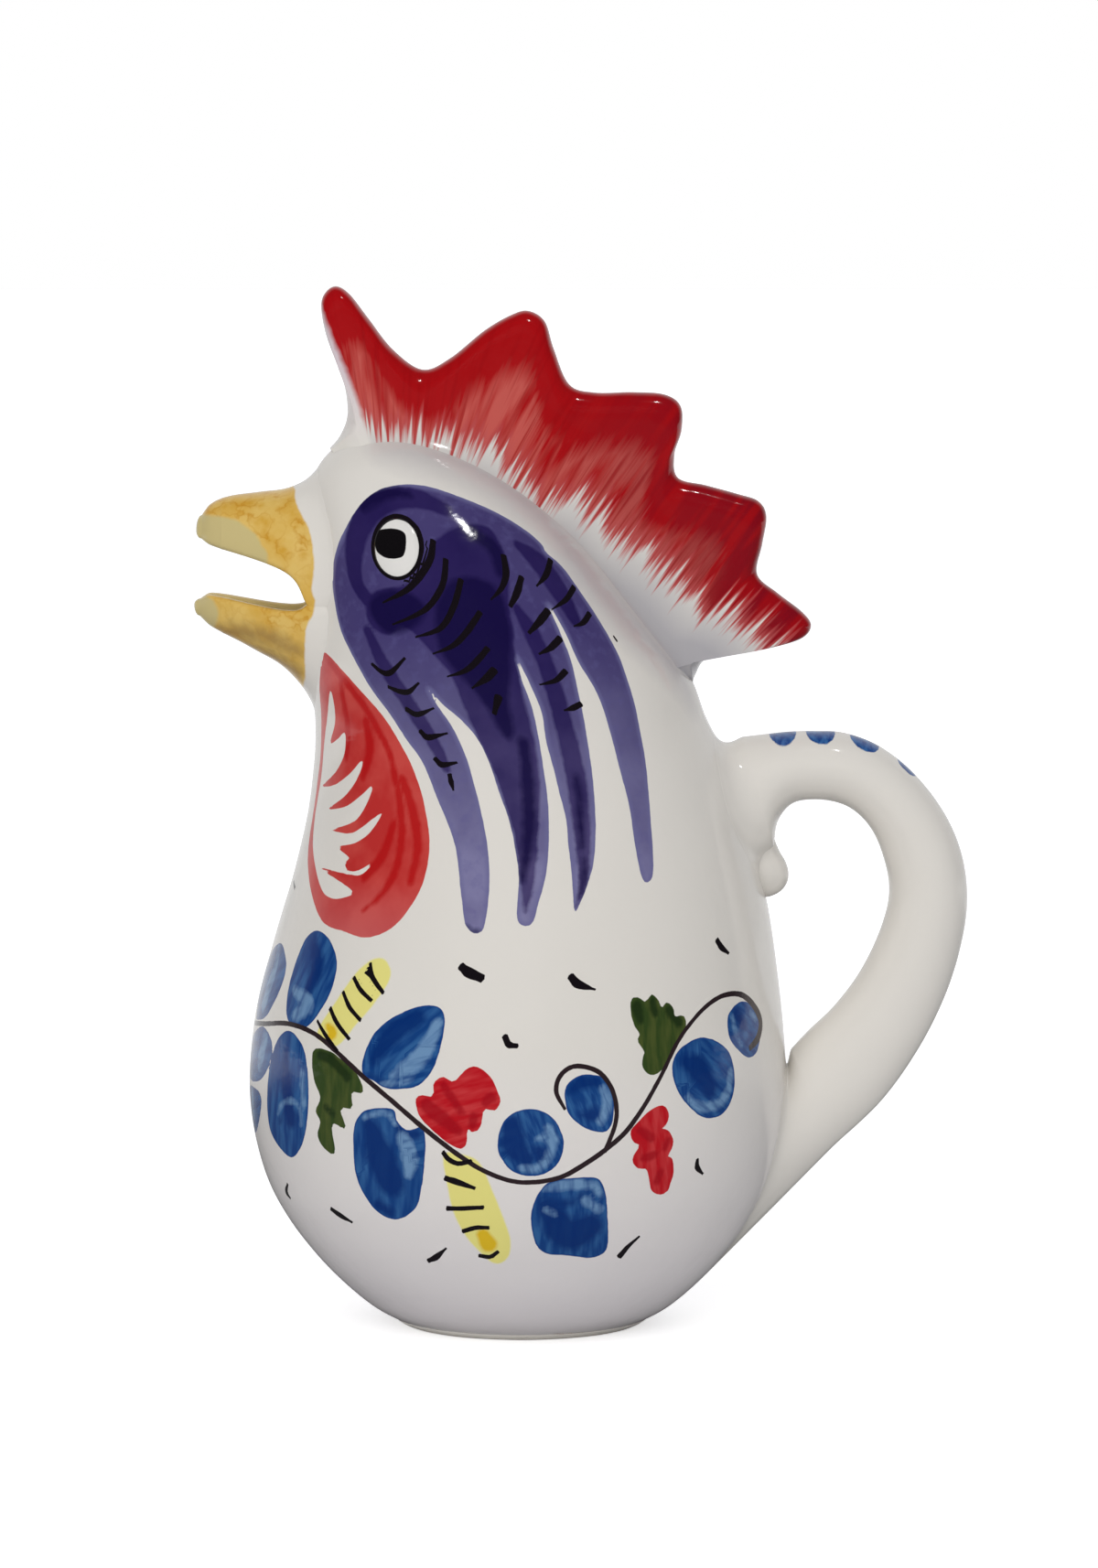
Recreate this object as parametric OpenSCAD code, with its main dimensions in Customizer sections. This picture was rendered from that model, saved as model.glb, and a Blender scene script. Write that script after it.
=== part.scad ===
// Rooster pitcher: a hollow glazed jug in the shape of a cockerel, poured through its open beak.
// The origin is the middle of the foot's underside, +Z is up, the beak points to -X and the
// handle to +X. The jug is the same on both sides of the XZ plane.

/* [Body] */
// Diameter of the belly where it is widest
belly_d = 129.6; // [118:0.2:142]
// Height of the widest part of the belly above the table
belly_h = 58; // [48:1:68]
// Height of the seam where the neck ends and the head begins
neck_h = 148; // [138:1:154]
// Neck at the seam, from front to back
neck_l = 93; // [86:0.5:98]
// Neck at the seam, from side to side
neck_w = 88; // [80:0.5:92]
// How far the middle of the neck stands in front of the belly's axis
neck_lean = 3; // [1:0.25:5]
// Thickness of the fired wall
wall = 4.5; // [3.5:0.25:5.5]

/* [Foot] */
// Diameter of the flat foot that the jug stands on
foot_d = 62; // [54:1:70]
// Thickness of the unglazed foot
foot_t = 1.6; // [1:0.1:2.5]

/* [Head] */
// Height of the crown of the head above the table
crown_h = 215.4; // [208:0.2:224]
// Length of each eye
eye_h = 13.6; // [10:0.2:16]
// Width of each eye
eye_w = 11; // [8:0.2:13]
// How far the middle of each eye stands out from the head
eye_proud = 1.3; // [0.8:0.1:2]
// Radius of the round ends of the pouring hole behind the beak
mouth_r = 11.5; // [9:0.25:12.5]
// Distance between the centres of the pouring hole's two round ends
mouth_reach = 14; // [10:0.5:16]

/* [Beak] */
// How far the beak stands out in front of the face
beak_l = 29; // [24:0.5:34]
// Height of the upper half of the beak at the face
upper_beak_h = 26; // [22:0.5:28]
// Height of the lower half of the beak at the face
lower_beak_h = 21; // [18:0.5:23]
// Width of the beak at the face
beak_w = 35; // [30:0.5:38]
// Thickness of the beak's wall
beak_wall = 4; // [3:0.25:5]
// Height of the corner of the beak above the neck's seam
gape_rise = 26.6; // [24:0.2:29]

/* [Comb] */
// Length of the comb from the forehead to its last point
comb_l = 121.2; // [112:0.2:128]
// Height of the comb from its back corner to its first point
comb_h = 93.1; // [86:0.1:98]
// Thickness of the comb's points
comb_t = 10; // [8:0.25:12]
// How far the rounding runs in from the comb's edge
comb_edge = 5.5; // [4:0.25:7]
// Extra thickness on each side where the comb runs into the head
comb_fillet = 5; // [3:0.25:6]
// Height of the run-out of that thickness above the head
comb_fillet_h = 13; // [9:0.5:16]

/* [Handle] */
// How far the handle reaches behind the widest part of the belly
handle_reach = 42.5; // [36:0.5:48]
// Height of the handle's arch above the table
handle_top = 143; // [136:0.5:146]
// Height of the lowest place where the handle leaves the belly
handle_low = 7; // [5:0.5:12]
// Width of the handle from side to side along its arch
handle_w = 20; // [17:0.5:23]
// Radius of the small scroll under the handle's upper root
scroll_r = 4.2; // [3.2:0.1:5]
// Width of the scroll from side to side
scroll_w = 15; // [11:0.5:18]
// How far the scroll's middle stands behind the flare of the handle's upper root
scroll_out = 1.4; // [0.5:0.1:2.5]

/* [Hidden] */

// Facets round the jug, round the handle and round half a beak
round_n = 48;
handle_n = 20;
beak_n = 14;
// Steps between two given places along the comb's crest and along the handle
comb_steps = 2;
handle_steps = 2;

belly_r = belly_d / 2;
foot_r = foot_d / 2;
neck_half = neck_l / 2;
head_h = crown_h - neck_h;

// Below the widest part: [share of the way up from the foot, share of the way out to the belly]
under_shares = [[0, 0], [0.035, 0.12], [0.085, 0.23], [0.16, 0.37], [0.24, 0.5], [0.32, 0.61],
    [0.4, 0.71], [0.48, 0.79], [0.56, 0.86], [0.71, 0.94], [0.86, 0.985]];

// Above it: [share of the way up to the neck, share of the belly's bulge, share of the neck's lean]
over_shares = [[0, 1, -0.3], [0.16, 0.945, -0.25], [0.26, 0.872, -0.12], [0.355, 0.776, 0.1],
    [0.453, 0.672, 0.3], [0.55, 0.548, 0.45], [0.65, 0.424, 0.45], [0.747, 0.305, 0.35],
    [0.844, 0.2, 0.05], [0.916, 0.105, -0.35], [1, 0, -1]];

// Head: [share of its height, front, back and side as shares of half the neck]
head_shares = [[0.065, -1.025, 0.975, 0.995], [0.125, -1.038, 0.935, 0.985],
    [0.19, -1.038, 0.885, 0.965], [0.25, -1.033, 0.813, 0.94], [0.325, -1.028, 0.73, 0.905],
    [0.412, -1.02, 0.632, 0.86], [0.51, -1.016, 0.525, 0.8], [0.608, -1.018, 0.408, 0.73],
    [0.706, -1.026, 0.262, 0.64], [0.804, -1.02, 0.09, 0.53], [0.886, -0.968, -0.1, 0.415],
    [0.951, -0.87, -0.3, 0.275], [0.984, -0.75, -0.44, 0.155]];
crown_share = -0.55;

// One row of the jug's outer form: [height, front, back, half the width]
function under_row(s) = let (r = foot_r + (belly_r - foot_r) * s[1], c = over_shares[0][2] * neck_lean * s[0])
    [foot_t + (belly_h - foot_t) * s[0], c - r, c + r, r];
function over_row(s) = let (r = neck_half + (belly_r - neck_half) * s[1], c = s[2] * neck_lean)
    [belly_h + (neck_h - belly_h) * s[0], c - r, c + r,
     neck_w / 2 + (belly_r - neck_w / 2) * s[1]];
function head_row(s) = [neck_h + head_h * s[0], neck_half * s[1] - neck_lean,
    neck_half * s[2] - neck_lean, neck_w / 2 * s[3]];

belly_rows = concat([for (s = under_shares) under_row(s)], [for (s = over_shares) over_row(s)]);
rows = concat(belly_rows, [for (s = head_shares) head_row(s)]);
seam = len(belly_rows) - 1;
crown = [neck_half * crown_share - neck_lean, 0, crown_h];

// A point of a row at an angle round the jug, the front being at 180 degrees
function on_row(r, a) = [(r[1] + r[2]) / 2 + (r[2] - r[1]) / 2 * cos(a), r[3] * sin(a), r[0]];
function unit(v) = v / norm(v);

// The direction out of the wall at row i, from the lines along the row and up the jug
function out_of(i, a) = let (low = max(i - 1, 0), high = min(i + 1, len(rows) - 1))
    unit(cross(on_row(rows[i], a + 1) - on_row(rows[i], a - 1),
               on_row(rows[high], a) - on_row(rows[low], a)));
function ring(i, depth) = [for (k = [0 : round_n - 1]) let (a = 360 * k / round_n)
    on_row(rows[i], a) - depth * out_of(i, a)];

// Lookup tables of the jug's profile by height
front_of = [for (r = concat(rows, [[crown_h, crown[0], crown[0], 0]])) [r[0], r[1]]];
back_of = [for (r = concat(rows, [[crown_h, crown[0], crown[0], 0]])) [r[0], r[2]]];
side_of = [for (r = concat(rows, [[crown_h, crown[0], crown[0], 0]])) [r[0], r[3]]];

// Is a place inside the jug's outer form, y to one side of the middle plane? And where, on the
// side of the handle, is that form's surface?
function in_form(p, y) = let (f = lookup(p[1], front_of), b = lookup(p[1], back_of))
    p[1] < crown_h && pow((2 * p[0] - f - b) / (b - f), 2) + pow(y / lookup(p[1], side_of), 2) < 1;
function back_point(y, z) = let (f = lookup(z, front_of), b = lookup(z, back_of))
    [(f + b) / 2 + (b - f) / 2 * sqrt(1 - pow(y / lookup(z, side_of), 2)), y, z];

// Triangles of the band between two rings of n points, from the starts of their point numbers
function band(a, b, n) = [for (k = [0 : n - 1]) let (m = (k + 1) % n)
    each [[a + k, b + k, b + m], [a + k, b + m, a + m]]];
function flip(faces) = [for (f = faces) [f[2], f[1], f[0]]];

// A closed skin through rings of n points each, closed at both ends by a point
module skin(rings, start, end) {
    n = len(rings[0]);
    m = len(rings);
    points = concat([for (r = rings) each r], [start, end]);
    faces = concat([for (i = [0 : m - 2]) each band(i * n, (i + 1) * n, n)],
        [for (k = [0 : n - 1]) [m * n, k, (k + 1) % n]],
        [for (k = [0 : n - 1]) [m * n + 1, (m - 1) * n + (k + 1) % n, (m - 1) * n + k]]);
    polyhedron(points, faces);
}

// The whole space inside the head's outer surface, from the seam to the crown
module head_form() {
    skin([for (i = [seam : len(rows) - 1]) ring(i, 0)],
        [(rows[seam][1] + rows[seam][2]) / 2, 0, rows[seam][0]], crown);
}

// Flat unglazed foot, the face that the jug rests on
module foot() {
    color("peru") cylinder(h = foot_t, r = foot_r, $fn = round_n);
}

// Belly and neck: an outer and an inner skin joined by the seam's flat rim
first_inner = 1;
module belly() {
    outer = [for (i = [0 : seam]) ring(i, 0)];
    inner = [for (i = [first_inner : seam]) ring(i, wall)];
    n = round_n;
    low = len(outer) * n;
    count = low + len(inner) * n;
    floor_z = min([for (p = inner[0]) p[2]]);
    points = concat([for (r = outer) each r], [for (r = inner) each r],
        [[0, 0, rows[0][0]], [0, 0, floor_z]]);
    faces = concat([for (i = [0 : len(outer) - 2]) each band(i * n, (i + 1) * n, n)],
        [for (i = [0 : len(inner) - 2]) each flip(band(low + i * n, low + (i + 1) * n, n))],
        band(seam * n, low + (len(inner) - 1) * n, n),
        [for (k = [0 : n - 1]) [count, k, (k + 1) % n]],
        [for (k = [0 : n - 1]) [count + 1, low + (k + 1) % n, low + k]]);
    color("ivory") polyhedron(points, faces);
}

// Head: an egg that leans forward, hollow, with the pouring hole through its face
module head_shell() {
    outer = [for (i = [seam : len(rows) - 1]) ring(i, 0)];
    inner = [for (i = [seam : len(rows) - 3]) ring(i, wall)];
    n = round_n;
    low = len(outer) * n;
    count = low + len(inner) * n;
    last = inner[len(inner) - 1];
    points = concat([for (r = outer) each r], [for (r = inner) each r],
        [crown, [crown[0], 0, max([for (p = last) p[2]])]]);
    faces = concat([for (i = [0 : len(outer) - 2]) each band(i * n, (i + 1) * n, n)],
        [for (i = [0 : len(inner) - 2]) each flip(band(low + i * n, low + (i + 1) * n, n))],
        flip(band(0, low, n)),
        [for (k = [0 : n - 1]) [count, (len(outer) - 1) * n + (k + 1) % n, (len(outer) - 1) * n + k]],
        [for (k = [0 : n - 1]) [count + 1, low + (len(inner) - 1) * n + k,
                                low + (len(inner) - 1) * n + (k + 1) % n]]);
    polyhedron(points, faces);
}

face_x = -neck_half - neck_lean;
gape_h = neck_h + gape_rise;
mouth_h = gape_h + (upper_beak_h - lower_beak_h) / 2;

// Pouring hole: a slot with round ends, as tall as the beak is inside
module mouth_cutter() {
    reach = neck_half;
    translate([face_x - wall, 0, mouth_h]) rotate([0, 90, 0]) {
        for (side = [-1, 1])
            translate([side * mouth_reach / 2, 0, 0]) cylinder(h = reach, r = mouth_r, $fn = round_n);
        translate([-mouth_reach / 2, -mouth_r, 0]) cube([mouth_reach, 2 * mouth_r, reach]);
    }
}

module head() {
    color("ivory") difference() {
        head_shell();
        mouth_cutter();
    }
}

// Comb. Each line of the list is a place on its crest, as shares of comb_l behind the crown and
// of comb_h above it, and the share along the spine that the comb's ribs start from.
crest_shares = [[-0.142, -0.047, 0.01], [-0.122, -0.015, 0.02],
    [-0.108, 0.035, 0.03], [-0.112, 0.105, 0.04], [-0.13, 0.175, 0.05], [-0.152, 0.256, 0.06],
    [-0.158, 0.33, 0.07], [-0.135, 0.366, 0.08], [-0.105, 0.35, 0.09], [-0.065, 0.284, 0.1],
    [-0.018, 0.206, 0.12], [0.04, 0.154, 0.15], [0.094, 0.182, 0.2], [0.163, 0.254, 0.28],
    [0.216, 0.294, 0.34], [0.25, 0.304, 0.38], [0.282, 0.277, 0.4], [0.3, 0.206, 0.42],
    [0.33, 0.116, 0.46], [0.38, 0.095, 0.53], [0.454, 0.096, 0.6], [0.518, 0.09, 0.64],
    [0.55, 0.06, 0.67], [0.552, -0.002, 0.69], [0.538, -0.065, 0.71], [0.545, -0.124, 0.73],
    [0.6, -0.143, 0.78], [0.662, -0.165, 0.82], [0.704, -0.184, 0.84], [0.72, -0.224, 0.86],
    [0.712, -0.295, 0.88], [0.702, -0.372, 0.9], [0.742, -0.42, 0.92], [0.79, -0.468, 0.94],
    [0.809, -0.504, 0.96], [0.79, -0.538, 0.97], [0.726, -0.562, 0.98], [0.654, -0.575, 0.985],
    [0.6, -0.592, 0.99], [0.58, -0.632, 1]];
spine_start_shares = [-0.02, -0.21];
spine_end_shares = [0.45, -0.63];
// Rows of a rib from the crest inwards, as shares of the edge's rounding and of the rest
edge_shares = [0, 0.04, 0.15, 0.35, 0.65, 1];
rib_shares = [0.3, 0.55, 0.8, 1];
// Places across the comb's root, as shares of half its thickness there
root_shares = [0.5, 0, -0.5];
// Least share of a rib that its rounded edge leaves for the flank
flank_share = 0.7;

function comb_place(s) = [crown[0] + s[0] * comb_l, crown_h + s[1] * comb_h];
function spine_place(t) = comb_place(spine_start_shares + (spine_end_shares - spine_start_shares) * t);

// A smooth curve through a list of rows, with a number of steps between one row and the next
function between(a, b, c, d, t) = 0.5 * (2 * b + (c - a) * t + (2 * a - 5 * b + 4 * c - d) * t * t
    + (3 * b - a - 3 * c + d) * t * t * t);
function smooth(t, steps) = let (n = len(t)) concat([for (i = [0 : n - 2]) for (j = [0 : steps - 1])
    between(t[max(i - 1, 0)], t[i], t[i + 1], t[min(i + 2, n - 1)], j / steps)], [t[n - 1]]);

// Where the line from a to c comes out of the head at y, as a share of it, by halving k times
function exit_share(a, c, y, low = 0, high = 1, k = 14) = let (mid = (low + high) / 2)
    k == 0 ? mid : in_form(a + (c - a) * mid, y) ? exit_share(a, c, y, mid, high, k - 1)
        : exit_share(a, c, y, low, mid, k - 1);

// Both faces of one rib: its root across the head, one flank, the crest and the other flank
function rib(s) = let (
        c = comb_place(s), a = spine_place(s[2]), l = norm(c - a),
        tall = l * (1 - exit_share(a, c, 0)), edge = min(comb_edge, tall * flank_share),
        half = comb_t / 2 * min(tall / comb_edge, 1), full = half + comb_fillet * min(tall / comb_edge, 1),
        deep = l * (1 - exit_share(a, c, full)),
        flank = [for (q = concat([for (q = edge_shares) q * edge],
                [for (q = rib_shares) edge + q * (deep - edge)])) let (
            round = half * sqrt(max(0, 1 - pow(1 - min(q / edge, 1), 2))),
            flare = (full - half) * pow(max(0, 1 - max(tall - q, 0) / comb_fillet_h), 2) * min(q / edge, 1),
            p = c + (a - c) * q / l) [p[0], -round - flare, p[1]]],
        root = [for (q = root_shares) let (p = a + (c - a) * exit_share(a, c, abs(q) * full))
            [p[0], -q * full, p[1]]], n = len(flank))
    concat(flank, root, [for (i = [n - 1 : -1 : 1]) [flank[i][0], -flank[i][1], flank[i][2]]]);

module comb() {
    ribs = [for (s = smooth(crest_shares, comb_steps)) rib(s)];
    root = len(edge_shares) + len(rib_shares) + floor(len(root_shares) / 2);
    last = ribs[len(ribs) - 1];
    color("crimson") skin(ribs, (ribs[0][0] + ribs[0][root]) / 2, (last[0] + last[root]) / 2);
}

// Beak. Each row is [share of the way from the face to the tip, top and bottom as shares of the
// height at the face, half the width as a share of that at the face].
upper_beak_shares = [[-0.35, 1.03, -0.02, 1.04], [0, 1.03, 0, 1], [0.09, 1.01, 0.12, 0.97],
    [0.21, 1, 0.24, 0.91], [0.39, 0.985, 0.32, 0.79], [0.55, 0.965, 0.39, 0.67], [0.7, 0.945, 0.45, 0.56],
    [0.82, 0.91, 0.5, 0.45], [0.92, 0.85, 0.54, 0.32], [0.98, 0.77, 0.58, 0.2]];
lower_beak_shares = [[-0.35, -0.06, -1.1, 1.04], [0, -0.06, -1.03, 1], [0.09, -0.08, -0.9, 0.97],
    [0.21, -0.1, -0.78, 0.91], [0.33, -0.09, -0.68, 0.83], [0.5, -0.05, -0.56, 0.7], [0.65, -0.01, -0.45, 0.6],
    [0.8, 0.03, -0.35, 0.47], [0.92, 0.05, -0.26, 0.33], [1, 0, -0.17, 0.17]];
thin_share = 0.3;

// A row of a trough: an arch over the flat edge, and the same arch one wall further in
function arch(w, h, z, dir) = [for (k = [0 : beak_n]) let (a = 180 * k / beak_n)
    [w * cos(a), z + dir * h * sin(a)]];
function trough_row(s, height, dir) = let (
        x = face_x - beak_l * s[0], w = beak_w / 2 * s[3], top = gape_h + height * s[1],
        low = gape_h + height * s[2], h = top - low, z = dir > 0 ? low : top,
        wi = max(w - beak_wall, w * thin_share), hi = max(h - beak_wall, h * thin_share),
        one = arch(w, h, z, dir), two = arch(wi, hi, z, dir))
    concat([for (p = one) [x, p[0], p[1]]], [for (i = [beak_n : -1 : 0]) [x, two[i][0], two[i][1]]]);

// A trough through its rows: closed round each row, and by a strip of wall at both ends
module trough(shares, height, dir) {
    rings = [for (s = shares) trough_row(s, height, dir)];
    n = len(rings[0]);
    m = len(rings);
    side = concat([for (i = [0 : m - 2]) each band(i * n, (i + 1) * n, n)]);
    ends = concat([for (k = [0 : beak_n - 1]) each [[k, k + 1, n - 2 - k], [k, n - 2 - k, n - 1 - k]]],
        flip([for (k = [0 : beak_n - 1]) each let (q = (m - 1) * n)
            [[q + k, q + k + 1, q + n - 2 - k], [q + k, q + n - 2 - k, q + n - 1 - k]]]));
    polyhedron([for (r = rings) each r], dir > 0 ? flip(concat(side, ends)) : concat(side, ends));
}

module upper_beak() {
    color("khaki") difference() {
        trough(upper_beak_shares, upper_beak_h, 1);
        head_form();
    }
}

module lower_beak() {
    color("khaki") difference() {
        trough(lower_beak_shares, lower_beak_h, -1);
        head_form();
    }
}

// Eyes: shallow domes laid on the sides of the head. The dome's rings are shares of its outline,
// from the middle of its back, out to its rim and in again over its raised face.
eye_back_share = 0.43;
eye_rise_share = 0.58;
eye_n = 24;
eye_under_shares = [0.4, 0.75];
eye_over_shares = [0.93, 0.8, 0.6, 0.35];
eye_x = face_x + neck_half * eye_back_share;
eye_z = neck_h + head_h * eye_rise_share;

// The jug's surface beside a place of the middle plane, on the side given by -1 or 1
function side_point(x, z, side) = let (f = lookup(z, front_of), b = lookup(z, back_of))
    [x, side * lookup(z, side_of) * sqrt(1 - pow((2 * x - f - b) / (b - f), 2)), z];
function eye_out(side) = side * unit(cross(
    side_point(eye_x, eye_z + eye_h / 2, side) - side_point(eye_x, eye_z - eye_h / 2, side),
    side_point(eye_x + eye_w / 2, eye_z, side) - side_point(eye_x - eye_w / 2, eye_z, side)));
function eye_ring(share, side, raised) = [for (k = [0 : eye_n - 1]) let (a = -side * 360 * k / eye_n)
    side_point(eye_x + eye_w / 2 * share * cos(a), eye_z + eye_h / 2 * share * sin(a), side)
        + raised * eye_proud * sqrt(1 - share * share) * eye_out(side)];

module eye(side) {
    middle = side_point(eye_x, eye_z, side);
    color("white") skin(concat([for (q = eye_under_shares) eye_ring(q, side, 0)], [eye_ring(1, side, 0)],
        [for (q = eye_over_shares) eye_ring(q, side, 1)]), middle, middle + eye_proud * eye_out(side));
}

module left_eye() {
    eye(-1);
}

module right_eye() {
    eye(1);
}

// Handle. Each row is [outer x, outer z, inner x, inner z, half the width]: x as a share of the
// way from the belly's axis to the handle's reach, z as a share of the way from handle_low to
// handle_top, and the width as a share of that along the arch.
handle_shares = [[0.496, 0.99, 0.566, 0.796, 1.22], [0.55, 0.995, 0.574, 0.84, 1.13],
    [0.599, 0.999, 0.607, 0.872, 1.05], [0.656, 1, 0.66, 0.879, 1], [0.722, 0.997, 0.714, 0.872, 1],
    [0.8, 0.974, 0.755, 0.853, 1], [0.878, 0.926, 0.789, 0.82, 1], [0.947, 0.856, 0.812, 0.775, 1],
    [0.988, 0.78, 0.824, 0.73, 1], [1, 0.699, 0.82, 0.687, 1], [0.986, 0.618, 0.796, 0.629, 1],
    [0.951, 0.529, 0.755, 0.566, 1], [0.892, 0.435, 0.701, 0.51, 1.01], [0.81, 0.343, 0.646, 0.468, 1.05],
    [0.707, 0.265, 0.607, 0.435, 1.14]];
// The outlines of both roots on the jug: [top, bottom, half the width], as the same shares
upper_root_shares = [0.985, 0.74, 1.9];
lower_root_shares = [0.43, 0, 1.5];
// Rings between the upper root and the handle's nearest row: [share of the way along the jug,
// share of the way out of it], so that the root has a hollow flare
flare_shares = [[0.3, 0.2], [0.65, 0.45]];
// Rings between the handle's last row and the lower root, and rings inwards over a root's patch
ease_shares = [0.3, 0.65];
patch_shares = [0.66, 0.33];

function handle_z(s) = handle_low + (handle_top - handle_low) * s;
function handle_ring(s) = let (
        reach = belly_r + handle_reach, outer = [reach * s[0], 0, handle_z(s[1])],
        inner = [reach * s[2], 0, handle_z(s[3])])
    [for (k = [0 : handle_n - 1]) let (a = -360 * k / handle_n)
        (outer + inner) / 2 + (outer - inner) / 2 * cos(a) + [0, handle_w / 2 * s[4] * sin(a), 0]];
// A root's outline laid on the jug, shrunk to a share of itself; its outer end is up or down
function root_ring(s, share, outer_up) = let (top = handle_z(s[0]), low = handle_z(s[1]))
    [for (k = [0 : handle_n - 1]) let (a = -360 * k / handle_n)
        back_point(share * handle_w / 2 * s[2] * sin(a),
            (top + low) / 2 + share * outer_up * (top - low) / 2 * cos(a))];
function mix(a, b, share) = [for (i = [0 : len(a) - 1]) a[i] + (b[i] - a[i]) * share];
function flare(a, b, s) = [for (i = [0 : len(a) - 1]) let (d = b[i] - a[i])
    a[i] + [d[0] * s[1], d[1] * s[0], d[2] * s[0]]];
function patch_middle(s) = back_point(0, handle_z((s[0] + s[1]) / 2));

module handle() {
    arch = [for (s = smooth(handle_shares, handle_steps)) handle_ring(s)];
    up = root_ring(upper_root_shares, 1, 1);
    down = root_ring(lower_root_shares, 1, -1);
    last = arch[len(arch) - 1];
    color("ivory") skin(concat(
        [for (i = [len(patch_shares) - 1 : -1 : 0]) root_ring(upper_root_shares, patch_shares[i], 1)],
        [up], [for (s = flare_shares) flare(up, arch[0], s)], arch,
        [for (q = ease_shares) mix(last, down, q)], [down],
        [for (q = patch_shares) root_ring(lower_root_shares, q, -1)]),
        patch_middle(upper_root_shares), patch_middle(lower_root_shares));
}

// Scroll: the small rolled end of the handle's strap, under the upper root. Each of its rings is
// a circle, laid flat where it would go into the neck or into the flare of the root.
scroll_z_share = 0.754;
scroll_y_shares = [-0.97, -0.85, -0.6, -0.3, 0, 0.3, 0.6, 0.85, 0.97];

// The lower end of the root's flare in the middle plane, as [z, x], and its surface at y and z
flare_line = let (s = handle_shares[0], low = back_point(0, handle_z(upper_root_shares[1])),
        d = [(belly_r + handle_reach) * s[2], 0, handle_z(s[3])] - low)
    [for (q = concat([[0, 0]], flare_shares, [[1, 1]])) [low[2] + d[2] * q[0], low[0] + d[0] * q[1]]];
function flare_x(y, z) = let (w = handle_w / 2 * upper_root_shares[2],
        tall = handle_z(upper_root_shares[0]) - handle_z(upper_root_shares[1]),
        level = z - tall / 2 * (1 - sqrt(1 - pow(y / w, 2))))
    level < flare_line[0][0] ? back_point(y, z)[0] : max(back_point(y, z)[0], lookup(level, flare_line));

function scroll_ring(s) = let (
        z = handle_z(scroll_z_share), y = scroll_w / 2 * s, reach = sqrt(1 - s * s),
        out = scroll_out * reach, x = flare_x(y, z) + out, r = scroll_r * reach)
    [for (k = [0 : handle_n - 1]) let (a = -360 * k / handle_n, p = z + r * sin(a))
        [max(x + r * cos(a), flare_x(y, p) + out * max(cos(a), 0)), y, p]];

module handle_scroll() {
    rings = [for (s = scroll_y_shares) scroll_ring(s)];
    half = floor(handle_n / 2);
    last = rings[len(rings) - 1];
    color("ivory") skin(rings, (rings[0][0] + rings[0][half]) / 2, (last[0] + last[half]) / 2);
}

foot();
belly();
head();
comb();
upper_beak();
lower_beak();
left_eye();
right_eye();
handle();
handle_scroll();
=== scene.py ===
# %% Start
import math

import bpy
import numpy as np
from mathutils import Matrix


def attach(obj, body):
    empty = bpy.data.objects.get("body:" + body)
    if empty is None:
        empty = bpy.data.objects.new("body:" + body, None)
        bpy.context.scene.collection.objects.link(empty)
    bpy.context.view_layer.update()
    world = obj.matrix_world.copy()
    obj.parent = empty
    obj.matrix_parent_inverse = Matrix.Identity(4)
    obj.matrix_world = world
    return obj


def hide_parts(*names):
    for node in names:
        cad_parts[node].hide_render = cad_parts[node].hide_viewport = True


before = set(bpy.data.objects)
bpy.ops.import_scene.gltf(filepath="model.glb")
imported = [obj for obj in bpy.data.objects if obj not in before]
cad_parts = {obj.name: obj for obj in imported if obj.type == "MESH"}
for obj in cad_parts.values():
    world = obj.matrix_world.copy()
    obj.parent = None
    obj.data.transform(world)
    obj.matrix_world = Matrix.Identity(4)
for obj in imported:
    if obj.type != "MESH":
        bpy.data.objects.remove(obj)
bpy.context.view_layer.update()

# %% [markdown]
# # A rooster jug, painted by hand
#
# The real jug is white tin-glazed earthenware. Its body is one smooth skin from the foot to the
# crown, and everything that shows on it is brushwork under a glossy glaze. So this lesson has two
# halves. First the form: each piece is a surface worked out on a grid, from the same named sizes
# as the solid model. Then the paint: every brush mark is a short list of places, and a distance to
# it is kept at each point of the surface, so that a material can draw a sharp edge at any size.

# %% Sizes of the jug, in millimetres
MM = .001
belly_r, belly_h = 64.8, 58.0
neck_h, neck_half, neck_side, neck_lean = 148.0, 46.5, 44.0, 3.0
foot_r, foot_t, wall = 31.0, 1.6, 4.5
crown_share, crown_h = -.55, 215.4
crown = np.array([neck_half * crown_share - neck_lean, 0.0, crown_h])
head_h = crown_h - neck_h
face_x = -neck_half - neck_lean
gape_z = neck_h + 26.6   # where the halves of the beak meet
AROUND = 400             # points on each ring of the skin
TINY = 1e-9              # keeps a division away from zero
print("the head is", round(head_h, 1), "mm tall, and the face stands at x", face_x)
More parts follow.
